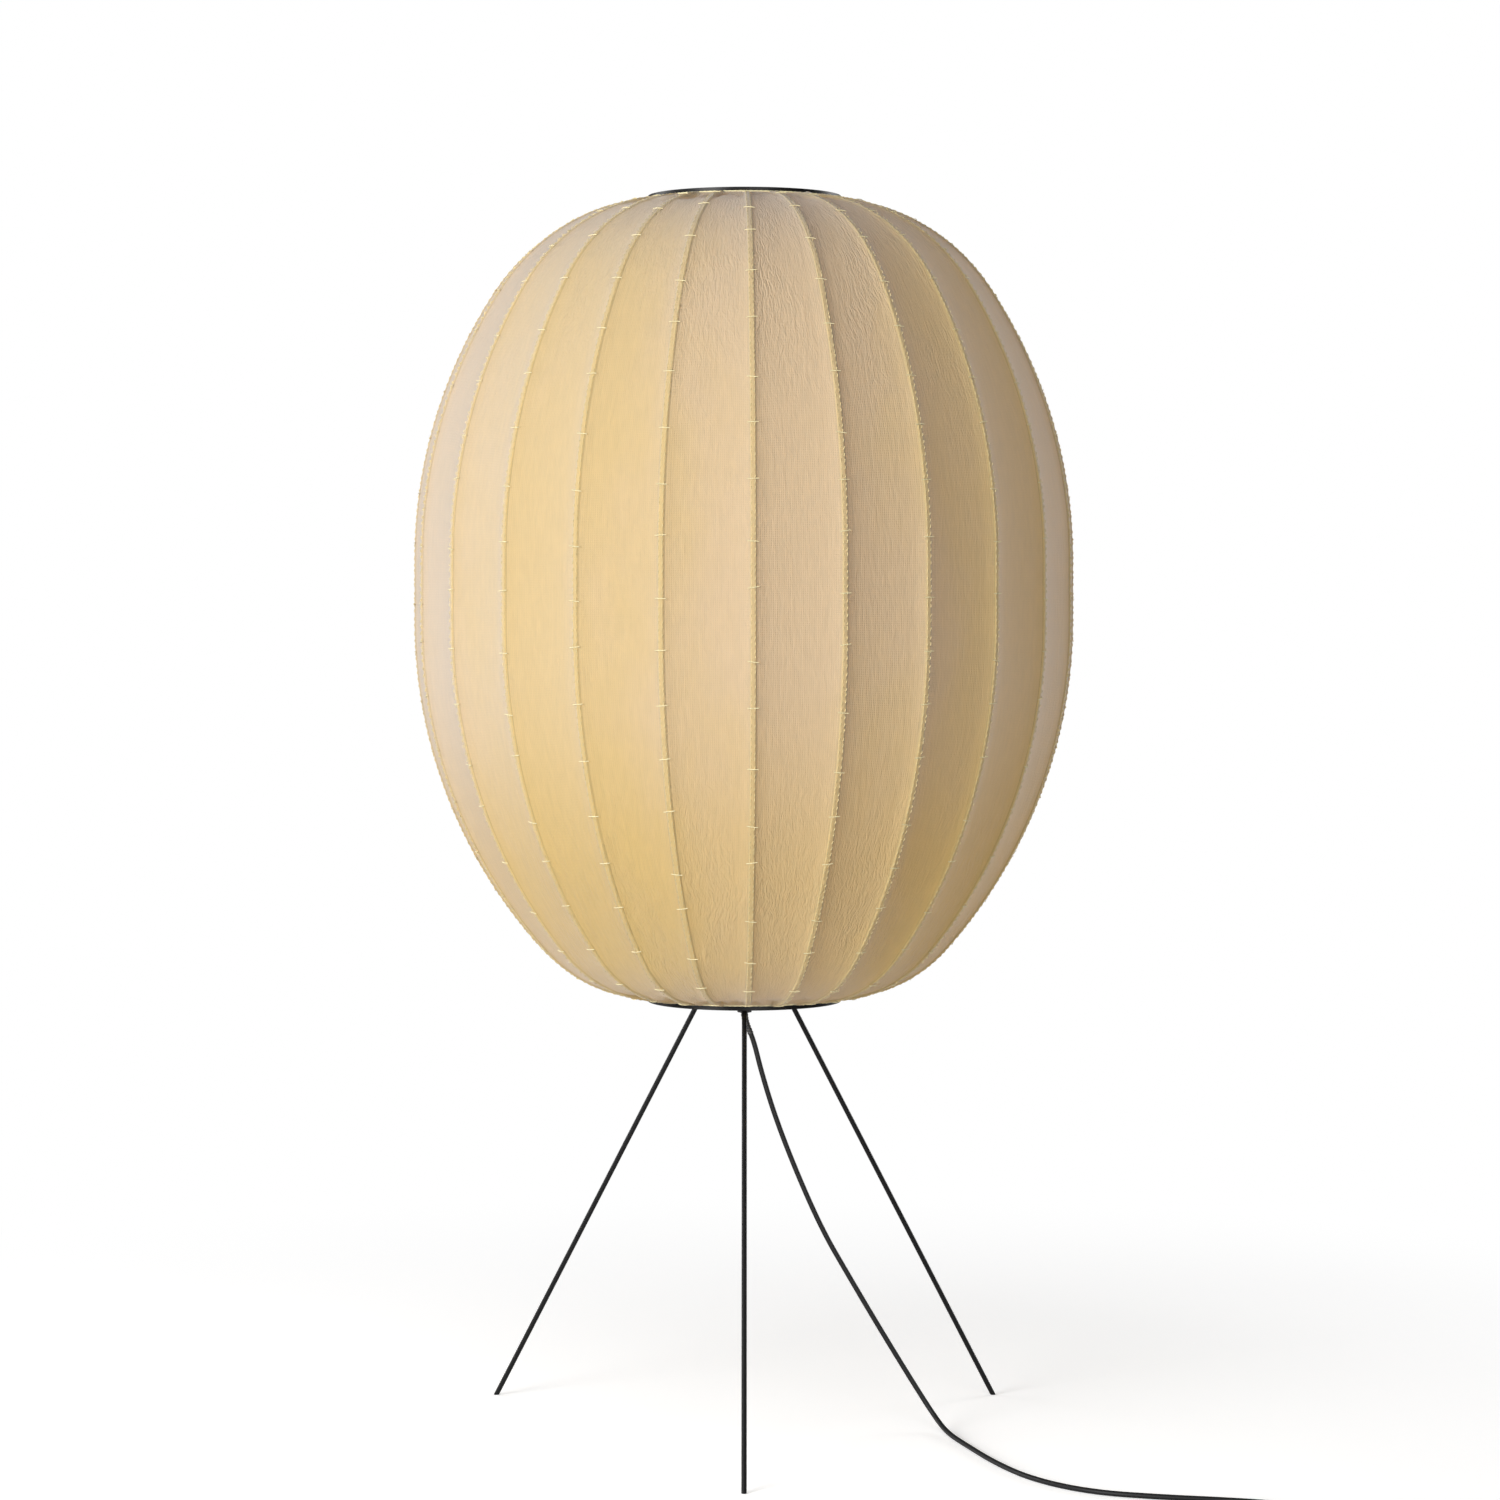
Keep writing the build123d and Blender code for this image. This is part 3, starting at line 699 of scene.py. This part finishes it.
def knit_finish():
    """Fine straw-yellow knit: stitches, drawn threads, yellower casings, some light let through."""
    material = bpy.data.materials.new("knit")
    material.use_nodes = True
    tree = material.node_tree
    shader = tree.nodes["Principled BSDF"]
    own = parts_of(tree, add_node(tree, "ShaderNodeUVMap", {"uv_map": "UVMap"}).outputs[0])
    casing = add_node(tree, "ShaderNodeAttribute", {"attribute_name": "casing"}).outputs["Fac"]
    inside = add_node(tree, "ShaderNodeAttribute", {"attribute_name": "inside"}).outputs["Fac"]

    def uneven(round_rate, up_rate, layer, detail, distortion=0.0, start=own[0]):
        """Noise in the knit's own coordinates, as fine round the shade and upwards as asked."""
        point = place(
            tree,
            times(tree, start, round_rate),
            times(tree, own[1], up_rate),
            layer,
        )
        return noise(tree, point, detail=detail, distortion=distortion)

    # Stitches: leaning legs in each row and column of the knit
    column = calc(tree, "FRACT", calc(tree, "DIVIDE", own[0], stitch_width))
    leg = calc(tree, "ABSOLUTE", calc(tree, "MULTIPLY_ADD", column, 2.0, -1.0))
    row = calc(tree, "MULTIPLY_ADD", leg, 0.5, calc(tree, "DIVIDE", own[1], stitch_rise))
    stitch = calc(tree, "SINE", times(tree, row, 2 * pi))
    valley = calc(tree, "POWER", leg, 4.0)
    stitch_height = calc(tree, "SUBTRACT", times(tree, stitch, 0.4), valley)

    # Drawn threads: long wavy streaks, combs beside the ribs, and broad uneven patches
    streak = uneven(round_rate=260.0, up_rate=42.0, layer=0.0, detail=3.0, distortion=0.6)
    snag = uneven(round_rate=60.0, up_rate=500.0, layer=4.0, detail=1.0)
    patch = uneven(round_rate=14.0, up_rate=7.0, layer=9.0, detail=3.0)
    round_share = calc(tree, "DIVIDE", own[0], 2 * pi * cover_radius / rib_count)
    ribs_before = first_rib * rib_count / (2 * pi)
    gore = calc(tree, "FRACT", calc(tree, "SUBTRACT", round_share, ribs_before))
    off_middle = calc(tree, "ABSOLUTE", calc(tree, "SUBTRACT", gore, 0.5))
    from_rib = calc(tree, "SUBTRACT", 0.5, off_middle)
    beside_rib = ease(tree, from_rib, 0.05, 0.16, 1.0, 0.0)
    comb_mask = times(tree, ease(tree, patch, 0.46, 0.58), beside_rib)

    # Crinkles where the knit is least stretched, towards the hems
    wander = uneven(round_rate=22.0, up_rate=22.0, layer=3.0, detail=1.0)
    leaning = calc(tree, "MULTIPLY_ADD", wander, 0.02, own[0])
    crinkle = uneven(
        round_rate=330.0, up_rate=95.0, layer=6.0, detail=1.5, distortion=0.8, start=leaning
    )
    from_hem = calc(tree, "MINIMUM", own[1], calc(tree, "SUBTRACT", bow_length, own[1]))
    slack = ease(tree, from_hem, 0.14, 0.4, 1.0, 0.12)
    crinkle_mask = times(tree, ease(tree, patch, 0.4, 0.56, 0.25, 1.0), slack)

    # Height of the surface: combs, then crinkles, streaks and stitches
    combs = times(tree, times(tree, snag, comb_mask), comb_depth)
    masked = times(tree, crinkle, crinkle_mask)
    crinkled = calc(tree, "MULTIPLY_ADD", masked, crinkle_depth, combs)
    streaked = calc(tree, "MULTIPLY_ADD", streak, streak_depth, crinkled)
    height = calc(tree, "MULTIPLY_ADD", stitch_height, stitch_depth, streaked)
    bump = add_node(
        tree, "ShaderNodeBump", sockets={"Strength": 0.8, "Distance": 1.0, "Height": height}
    ).outputs[0]

    # Colours: straw that turns pinker in broad bands round the shade, and deeper by the low hem
    band_turn = calc(tree, "MULTIPLY_ADD", own[0], band_count / cover_radius, band_start)
    pinkness = calc(
        tree, "MULTIPLY_ADD", calc(tree, "COSINE", band_turn), band_strength, patch
    )
    straw = blend(tree, ease(tree, pinkness, 0.05, 0.95), yellow_straw, pinker_straw)
    low = ease(tree, own[1], 0.2, 0.44, 1.0, 0.0)
    straw = blend(tree, low, straw, low_tone, "MULTIPLY")
    colour = blend(tree, times(tree, casing, casing_share), straw, casing_straw)
    # Painted shade: darker grooves at the edges of the casings
    groove = times(
        tree, ease(tree, casing, 0.02, 0.3), ease(tree, casing, 0.3, 0.9, 1.0, 0.0)
    )
    groove_painted = calc(tree, "MULTIPLY_ADD", groove, groove_painted_shade, plain_shade)
    # Painted light and shade: the stitches' raised loops lighter and their valleys darker
    stitch_painted = calc(tree, "MULTIPLY_ADD", stitch_height, stitch_painted_shading, groove_painted)
    # Streaks of the drawn threads, on top of the painted shade of grooves and stitches
    streaks_and_painted_shade = calc(tree, "MULTIPLY_ADD", streak, streak_shade, stitch_painted)
    tinted = scaled(tree, colour, streaks_and_painted_shade)

    # Painted sheen: the base colour paler where the knit is seen edge on
    facing = add_node(tree, "ShaderNodeLayerWeight", sockets={"Blend": 0.5}).outputs["Facing"]
    painted_sheen = times(
        tree,
        calc(tree, "POWER", facing, painted_sheen_power),
        calc(tree, "MULTIPLY_ADD", low, low_painted_sheen_loss, 1.0),
    )
    connect(tree, shader.inputs["Base Color"], blend(tree, painted_sheen, tinted, painted_sheen_colour))
    connect(tree, shader.inputs["Normal"], bump)
    shader.inputs["Roughness"].default_value = 0.85
    shader.inputs["Specular IOR Level"].default_value = 0.25
    shader.inputs["Sheen Weight"].default_value = 0.5
    shader.inputs["Sheen Roughness"].default_value = 0.45

    # Light let through, warmer on the outer sheet
    warm = blend(tree, 1.0, tinted, light_tone, "MULTIPLY")
    through_colour = blend(tree, inside, warm, inner_colour)
    through = add_node(
        tree, "ShaderNodeBsdfTranslucent", sockets={"Color": through_colour, "Normal": bump}
    )
    share = calc(tree, "MULTIPLY_ADD", inside, inner_through_share, through_share)
    mixed = add_node(
        tree, "ShaderNodeMixShader", sockets={0: share, 1: shader.outputs[0], 2: through.outputs[0]}
    )
    connect(tree, tree.nodes["Material Output"].inputs["Surface"], mixed.outputs[0])
    return material


# Knitted cover, with its raised casings over the ribs
casing_half = 0.0018
knit_cover = grow(
    "knitted_cover",
    draw_cover,
    rib_line,
    ribs=rib_count,
    columns=16,
    rows=128,
    first_rib=first_rib,
    widest=cover_radius,
    bow_length=bow_length,
    outset=knit_outside,
    casing_half=casing_half,
    casing_zone=0.0038,
    casing_height=0.0011,
    hollow=0.0034,
    thickness=0.0007,
    pleat_count=9.0,
    pleat_reach=0.055,
    pleat_depth=0.017,
    material=knit_finish(),
)
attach(knit_cover, "lamp")
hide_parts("knit_cover")


def draw_stitches(tree, given):
    """Small stitches along the ribs, each laid on the knit and turned a little by chance."""
    lines = times(tree, given["ribs"], given["lines"])
    grid = unit_grid(tree, lines, given["rows"])
    number = add_node(tree, "GeometryNodeInputIndex").outputs[0]
    half_past = calc(tree, "ADD", number, 0.5)
    line_number = calc(tree, "FLOOR", calc(tree, "DIVIDE", half_past, given["rows"]))
    row = calc(tree, "SUBTRACT", number, times(tree, line_number, given["rows"]))
    half_line = calc(tree, "ADD", line_number, 0.5)
    rib = calc(tree, "FLOOR", calc(tree, "DIVIDE", half_line, given["lines"]))
    odd = calc(tree, "SUBTRACT", line_number, times(tree, rib, given["lines"]))
    side = calc(tree, "MULTIPLY_ADD", odd, 2.0, -1.0)
    chance = add_node(
        tree,
        "FunctionNodeRandomValue",
        {"data_type": "FLOAT"},
        {2: -1.0, 3: 1.0, "Seed": 7},
    ).outputs[1]
    step = calc(tree, "MULTIPLY_ADD", chance, given["unevenness"], row)
    share_up = calc(tree, "DIVIDE", calc(tree, "ADD", step, 0.5), given["rows"])
    radius, height, out_x, out_z = on_bow(tree, given["line"], share_up)
    turn = calc(tree, "DIVIDE", 2 * pi, given["ribs"])
    shift = calc(tree, "DIVIDE", times(tree, side, given["across"]), radius)
    rib_angle = calc(tree, "MULTIPLY_ADD", rib, turn, given["first_rib"])
    angle = calc(tree, "ADD", rib_angle, shift)
    wide = calc(tree, "MULTIPLY_ADD", out_x, given["outset"], radius)
    cos_turn = calc(tree, "COSINE", angle)
    sin_turn = calc(tree, "SINE", angle)
    point = place(
        tree,
        times(tree, wide, cos_turn),
        times(tree, wide, sin_turn),
        calc(tree, "MULTIPLY_ADD", out_z, given["outset"], height),
    )

    # How each stitch faces: away from the knit, across the rib, and slanted
    outwards = place(
        tree, times(tree, out_x, cos_turn), times(tree, out_x, sin_turn), out_z
    )
    sideways = place(tree, times(tree, sin_turn, -1.0), cos_turn, 0.0)
    facing = add_node(
        tree,
        "FunctionNodeAxesToRotation",
        {"primary_axis": "Z", "secondary_axis": "X"},
        {0: outwards, 1: sideways},
    ).outputs[0]
    tilt = calc(tree, "MULTIPLY_ADD", chance, given["uneven_slant"], given["slant"])
    turned = add_node(
        tree,
        "FunctionNodeRotateRotation",
        {"rotation_space": "LOCAL"},
        {0: facing, 1: place(tree, 0.0, 0.0, tilt)},
    ).outputs[0]

    # One stitch: a short thread that arches over the knit, with both ends sunk in it
    half = times(tree, given["stitch_length"], 0.5)
    sunk = times(tree, given["thread"], -1.0)
    arc = add_node(
        tree,
        "GeometryNodeCurveQuadraticBezier",
        sockets={
            "Resolution": given["detail"],
            "Start": place(tree, times(tree, half, -1.0), 0.0, sunk),
            "Middle": place(tree, 0.0, 0.0, times(tree, given["thread"], 1.6)),
            "End": place(tree, half, 0.0, sunk),
        },
    )
    stitch = swept(tree, arc.outputs[0], circle(tree, 4, given["thread"]), True)
    laid = repeated(tree, stitch, moved_to(tree, grid, point), turned)
    return finished(tree, laid, given["material"])


# Stitches along both edges of each casing, and the cross stitches that hold the knit to its rib
edge_stitches = grow(
    "edge_stitches",
    draw_stitches,
    rib_line,
    ribs=rib_count,
    lines=2,
    rows=148,
    first_rib=first_rib,
    across=casing_half,
    outset=knit_outside - 0.0002,
    unevenness=0.25,
    stitch_length=0.0030,
    thread=0.00028,
    slant=1.35,
    uneven_slant=0.15,
    detail=3,
    material=thread_yellow,
)
cross_stitches = grow(
    "cross_stitches",
    draw_stitches,
    rib_line,
    ribs=rib_count,
    lines=1,
    rows=19,
    first_rib=first_rib,
    across=0.0,
    outset=knit_outside + 0.0003,
    unevenness=0.16,
    stitch_length=0.0105,
    thread=0.00042,
    slant=0.0,
    uneven_slant=0.15,
    detail=8,
    material=thread_pale,
)
for stitches in (edge_stitches, cross_stitches):
    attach(stitches, "lamp")


def draw_hems(tree, given):
    """The rolled hem that lies against each ring, as a twisted thread."""
    both_hems = add_node(tree, "GeometryNodeJoinGeometry")
    for height in (given["low_height"], given["high_height"]):
        along = add_node(tree, "GeometryNodeSplineParameter").outputs["Factor"]
        twist = calc(tree, "SINE", times(tree, along, given["twist_turn"]))
        swell = calc(tree, "MULTIPLY_ADD", twist, given["twist_depth"], 1.0)
        ring = circle(tree, 480, given["radius"])
        rope = swept(tree, ring, circle(tree, 8, given["thread"]), False, swell)
        raised = add_node(
            tree,
            "GeometryNodeTransform",
            sockets={"Geometry": rope, "Translation": place(tree, 0.0, 0.0, height)},
        )
        tree.links.new(raised.outputs[0], both_hems.inputs[0])
    return finished(tree, both_hems.outputs[0], given["material"])


# Rolled hems, each just outside its ring and against the end of the knit
hem_radius = 0.0008
hems = grow(
    "rolled_hems",
    draw_hems,
    radius=ring_radius + 0.0009,
    thread=hem_radius,
    low_height=ring_underside + low_band + hem_radius,
    high_height=total_height - top_band - hem_radius,
    twist_turn=2 * pi * 120,
    twist_depth=0.14,
    material=thread_pale,
)
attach(hems, "lamp")


def draw_ribs(tree, given):
    """The ribs as smooth bent strips with rounded edges."""
    even = add_node(
        tree, "GeometryNodeResampleCurve", sockets={"Curve": given["line"], "Count": 120}
    )
    faced = add_node(
        tree,
        "GeometryNodeSetCurveNormal",
        {"mode": "FREE"},
        {"Curve": even.outputs[0], "Normal": (0.0, 1.0, 0.0)},
    )
    outline = add_node(
        tree,
        "GeometryNodeCurvePrimitiveQuadrilateral",
        sockets={"Width": given["width"], "Height": given["thickness"]},
    )
    rounded = add_node(
        tree,
        "GeometryNodeFilletCurve",
        {"mode": "POLY"},
        {"Curve": outline.outputs[0], "Count": 2, "Radius": given["edge"]},
    )
    strip = swept(tree, faced.outputs[0], rounded.outputs[0], True)
    spots = add_node(tree, "GeometryNodePoints", sockets={"Count": given["ribs"]})
    number = add_node(tree, "GeometryNodeInputIndex").outputs[0]
    turn = calc(tree, "DIVIDE", 2 * pi, given["ribs"])
    angle = calc(tree, "MULTIPLY_ADD", number, turn, given["first_rib"])
    around = repeated(tree, strip, spots.outputs[0], place(tree, 0.0, 0.0, angle))
    return finished(tree, around, given["material"], smooth=False)


ribs = grow(
    "bent_ribs",
    draw_ribs,
    rib_line,
    ribs=rib_count,
    first_rib=first_rib,
    width=0.0045,
    thickness=0.001,
    edge=0.0003,
    material=rib_coat,
)
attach(ribs, "lamp")
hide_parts(*[f"rib_{index + 1:02d}" for index in range(rib_count)])


def keep_mesh(name, mesh_shape, material, body, stands_for):
    """A finished piece from its shape, shaded smooth except at its sharp edges."""
    bmesh.ops.recalc_face_normals(mesh_shape, faces=mesh_shape.faces)
    mesh = bpy.data.meshes.new(name)
    mesh_shape.to_mesh(mesh)
    mesh_shape.free()
    mesh.materials.append(material)
    mesh.shade_smooth()
    mesh.set_sharp_from_angle(angle=radians(38))
    piece = bpy.data.objects.new(name, mesh)
    scene.collection.objects.link(piece)
    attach(piece, body)
    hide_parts(*stands_for)
    return piece


def join_loops(shape, loops):
    """Faces between each closed loop of points and the next."""
    for lower, upper in zip(loops, loops[1:]):
        for step in range(len(lower)):
            following = (step + 1) % len(lower)
            shape.faces.new((lower[step], lower[following], upper[following], upper[step]))


def turn_profile(profile, steps, swell=None):
    """A shape turned about the lamp's axis from radii and heights in millimetres."""
    shape = bmesh.new()
    loops = []
    for radius, height in profile:
        loop = []
        for step in range(steps):
            angle = 2 * pi * step / steps
            wide = (radius + (swell(radius, height, angle) if swell else 0)) / 1000
            loop.append(shape.verts.new((wide * cos(angle), wide * sin(angle), height / 1000)))
        loops.append(loop)
    join_loops(shape, loops)
    bmesh.ops.remove_doubles(shape, verts=shape.verts, dist=0.000001)
    return shape


# Grooves of the holder's skirt, and thread of the bulb's cap, in millimetres
groove_count = 36
groove_depth = 0.55
thread_pitch = 3.6
thread_depth = 0.45


def holder_grip(radius, height, angle):
    """Fine upright grooves round the holder's skirt."""
    if radius < 19.3 or not 436 < height < 471:
        return 0
    return -groove_depth * max(0, cos(groove_count * angle)) ** 2


def cap_thread(radius, height, angle):
    """The round screw thread of the bulb's cap."""
    if radius < 12.4 or not 456 < height < 474:
        return 0
    return thread_depth * cos(2 * pi * height / thread_pitch - angle)


# Lamp holder: coned foot, grooved skirt, smooth rim, the socket above and the tube's seat below
holder_profile = [(0, 430), (5.2, 430), (5.2, 419.8), (10.6, 419.8), (11.2, 420.2), (19.0, 429.4)]
holder_profile += [(19.5, 430.2), (19.5, 435.9), (19.5, 436.1), (19.5, 470.9), (19.5, 471.1)]
holder_profile += [(19.5, 477.2), (18.9, 477.8), (15.0, 477.8), (14.5, 477.3)]
holder_profile += [(14.5, 445.8), (0, 445.8)]
keep_mesh(
    "lamp_holder",
    turn_profile(holder_profile, 216, holder_grip),
    holder_moulding,
    "lamp",
    ["holder_shell"],
)

# Bulb's screw cap with its contact end
cap_profile = [(0, 450.8), (4.6, 450.8), (5.2, 451.4), (11.4, 454.2), (12.3, 455.2)]
cap_profile += [(12.7, 456.2 + step * 0.6) for step in range(30)]
cap_profile += [(12.7, 474.4), (13.1, 475.6), (13.1, 476.8), (0, 476.8)]
keep_mesh(
    "screw_cap",
    turn_profile(cap_profile, 72, cap_thread),
    cap_metal,
    "lamp",
    ["bulb_cap"],
)

# Bulb's tubular opal body with a domed top
bulb_radius = 18.5
dome_height = 548.3
glass_profile = [(0, 476.8), (13.0, 476.8), (13.4, 478.4), (15.2, 481.6), (17.4, 484.8)]
glass_profile += [(18.3, 487.6), (bulb_radius, 491), (bulb_radius, 520), (bulb_radius, dome_height)]
for angle in range(9, 91, 9):
    dome_radius = bulb_radius * cos(radians(angle))
    glass_profile.append((dome_radius, dome_height + bulb_radius * sin(radians(angle))))
keep_mesh(
    "opal_bulb",
    turn_profile(glass_profile, 72),
    opal_glass,
    "lamp",
    ["bulb_body"],
)


def mould_copy(node_name, name, width, longest, material, body):
    """A copy of a CAD node with its long outer edges rounded, as a moulding has them."""
    shape = bmesh.new()
    shape.from_mesh(nodes[node_name].data)
    bmesh.ops.remove_doubles(shape, verts=shape.verts, dist=0.00001)
    bmesh.ops.dissolve_limit(shape, angle_limit=radians(1), verts=shape.verts, edges=shape.edges)
    outer = [
        edge
        for edge in shape.edges
        if edge.is_manifold and edge.is_convex
        and edge.calc_face_angle() > radians(20)
        and edge.calc_length() > longest
    ]
    bmesh.ops.bevel(
        shape, geom=outer, offset=width, segments=3, profile=0.5, affect="EDGES", clamp_overlap=True
    )
    return keep_mesh(name, shape, material, body, [node_name])


switch_upper = mould_copy(
    "switch_cover", "switch_upper", 0.0009, 0.0025, black_moulding, "lamp"
)
switch_lower = mould_copy(
    "switch_base", "switch_lower", 0.0006, 0.0025, black_moulding, "lamp"
)
foot_button = mould_copy(
    "switch_button", "foot_button", 0.0005, 0.002, button_moulding, "button"
)

# Plug: where its pin face, neck and sleeve tip lie along the cord, its middle line and its steps
pin_face = 0.206
plug_neck = 0.240
sleeve_tip = 0.260
plug_middle_y = -0.4605
plug_middle_z = 0.008
plug_steps = 48
sleeve_steps = 14


def plug_sections():
    """The plug's sections from its pin face to the cord: place, half width and height, squareness."""
    rows = [(0, 0.0162, 0.0067, 5), (0.0006, 0.0170, 0.0075, 5), (0.002, 0.0175, 0.008, 5)]
    rows += [(0.012, 0.0175, 0.008, 5), (0.017, 0.0170, 0.0078, 4.5), (0.021, 0.0150, 0.0074, 4)]
    rows += [(0.026, 0.0115, 0.0068, 3.4), (0.031, 0.0082, 0.0060, 2.8), (0.034, 0.0066, 0.0055, 2.4)]
    for step in range(1, sleeve_steps + 1):
        along = plug_neck - pin_face + (sleeve_tip - plug_neck) * step / sleeve_steps
        groove = 0.0006 if step % 2 == 0 and step < sleeve_steps - 1 else 0
        radius = 0.0052 - 0.0018 * step / sleeve_steps - groove
        rows.append((along, radius, radius, 2))
    return [(pin_face + along, wide, high, square) for along, wide, high, square in rows]


plug_shape = bmesh.new()
plug_loops = []
for along, wide, high, square in plug_sections():
    loop = []
    for step in range(plug_steps):
        angle = 2 * pi * step / plug_steps
        side, rise = cos(angle), sin(angle)
        across = wide * abs(side) ** (2 / square) * (1 if side > 0 else -1)
        up = high * abs(rise) ** (2 / square) * (1 if rise > 0 else -1)
        loop.append(plug_shape.verts.new((along, plug_middle_y + across, plug_middle_z + up)))
    plug_loops.append(loop)
join_loops(plug_shape, plug_loops)
plug_shape.faces.new(plug_loops[0])
plug_shape.faces.new(plug_loops[-1])
moulded_plug = keep_mesh(
    "moulded_plug", plug_shape, black_moulding, "lamp", ["plug_body"]
)

# The place in the shade that every light is aimed at
light_aim = Vector((0, 0, 0.75))


def add_lamp(name, location, size, power):
    """A soft square lamp aimed at the middle of the shade."""
    data = bpy.data.lights.new(name, "AREA")
    data.size = size
    data.energy = power
    lamp = bpy.data.objects.new(name, data)
    lamp.location = location
    aim = light_aim - Vector(location)
    lamp.rotation_euler = aim.to_track_quat("-Z", "Y").to_euler()
    scene.collection.objects.link(lamp)


add_lamp("left_lamp", (-2.65, -3.0, 1.2), 1.8, 198)
add_lamp("side_lamp", (-3.6, 1.6, 1.2), 1.6, 62)
add_lamp("top_lamp", (-0.9, -1.8, 3.8), 2.0, 23)
add_lamp("front_lamp", (1.1, -3.85, 0.9), 1.8, 72)
add_lamp("back_lamp", (3.3, 2.3, 1.2), 1.5, 66)


def as_seen(tree, as_light, to_camera):
    """One strength for the light that a surface gives, and another for how it looks."""
    seen = add_node(tree, "ShaderNodeLightPath").outputs["Is Camera Ray"]
    return ease(tree, seen, 0.0, 1.0, as_light, to_camera)


# White surroundings, dimmer as a light than they look
world = bpy.data.worlds.new("surroundings")
world.use_nodes = True
scene.world = world
sky = world.node_tree.nodes["Background"]
connect(world.node_tree, sky.inputs["Strength"], as_seen(world.node_tree, 0.09, 1.0))
sky.inputs["Color"].default_value = (1, 1, 1, 1)

# Floor: its half width, its drop below the feet, its tone, and where its shadow fades to white
floor_reach = 14
floor_drop = 0.0005
floor_tone = 0.86
floor_grain = 0.02
fade_start = 0.45
fade_end = 1.5


def floor_finish():
    """A pale floor that keeps the lamp's shadow and fades into the white surroundings."""
    material = bpy.data.materials.new("pale_floor")
    material.use_nodes = True
    tree = material.node_tree
    tree.nodes.remove(tree.nodes["Principled BSDF"])
    spot = add_node(tree, "ShaderNodeTexCoord").outputs["Object"]
    away = add_node(tree, "ShaderNodeVectorMath", {"operation": "LENGTH"}, {0: spot}).outputs["Value"]
    tone = calc(tree, "MULTIPLY_ADD", noise(tree, spot, 90.0, 3.0), floor_grain, floor_tone)
    matt = add_node(tree, "ShaderNodeBsdfDiffuse", sockets={"Color": place(tree, tone, tone, tone)})
    white = add_node(tree, "ShaderNodeEmission", sockets={"Strength": as_seen(tree, 0.12, 1.0)})
    glow = add_node(tree, "ShaderNodeEmission", sockets={"Strength": as_seen(tree, 0.05, 0.36)})
    lit = add_node(tree, "ShaderNodeAddShader", sockets={0: matt.outputs[0], 1: glow.outputs[0]})
    fade = add_node(
        tree,
        "ShaderNodeMixShader",
        sockets={
            0: ease(tree, away, fade_start, fade_end),
            1: lit.outputs[0],
            2: white.outputs[0],
        },
    )
    connect(tree, tree.nodes["Material Output"].inputs["Surface"], fade.outputs[0])
    return material


floor_mesh = bpy.data.meshes.new("floor")
floor_corners = [
    (x * floor_reach, y * floor_reach, 0) for x, y in ((-1, -1), (1, -1), (1, 1), (-1, 1))
]
floor_mesh.from_pydata(floor_corners, [], [(0, 1, 2, 3)])
floor_mesh.materials.append(floor_finish())
floor = bpy.data.objects.new("floor", floor_mesh)
floor.location = (0, 0, -floor_drop)
scene.collection.objects.link(floor)

scene.view_settings.view_transform = "Standard"
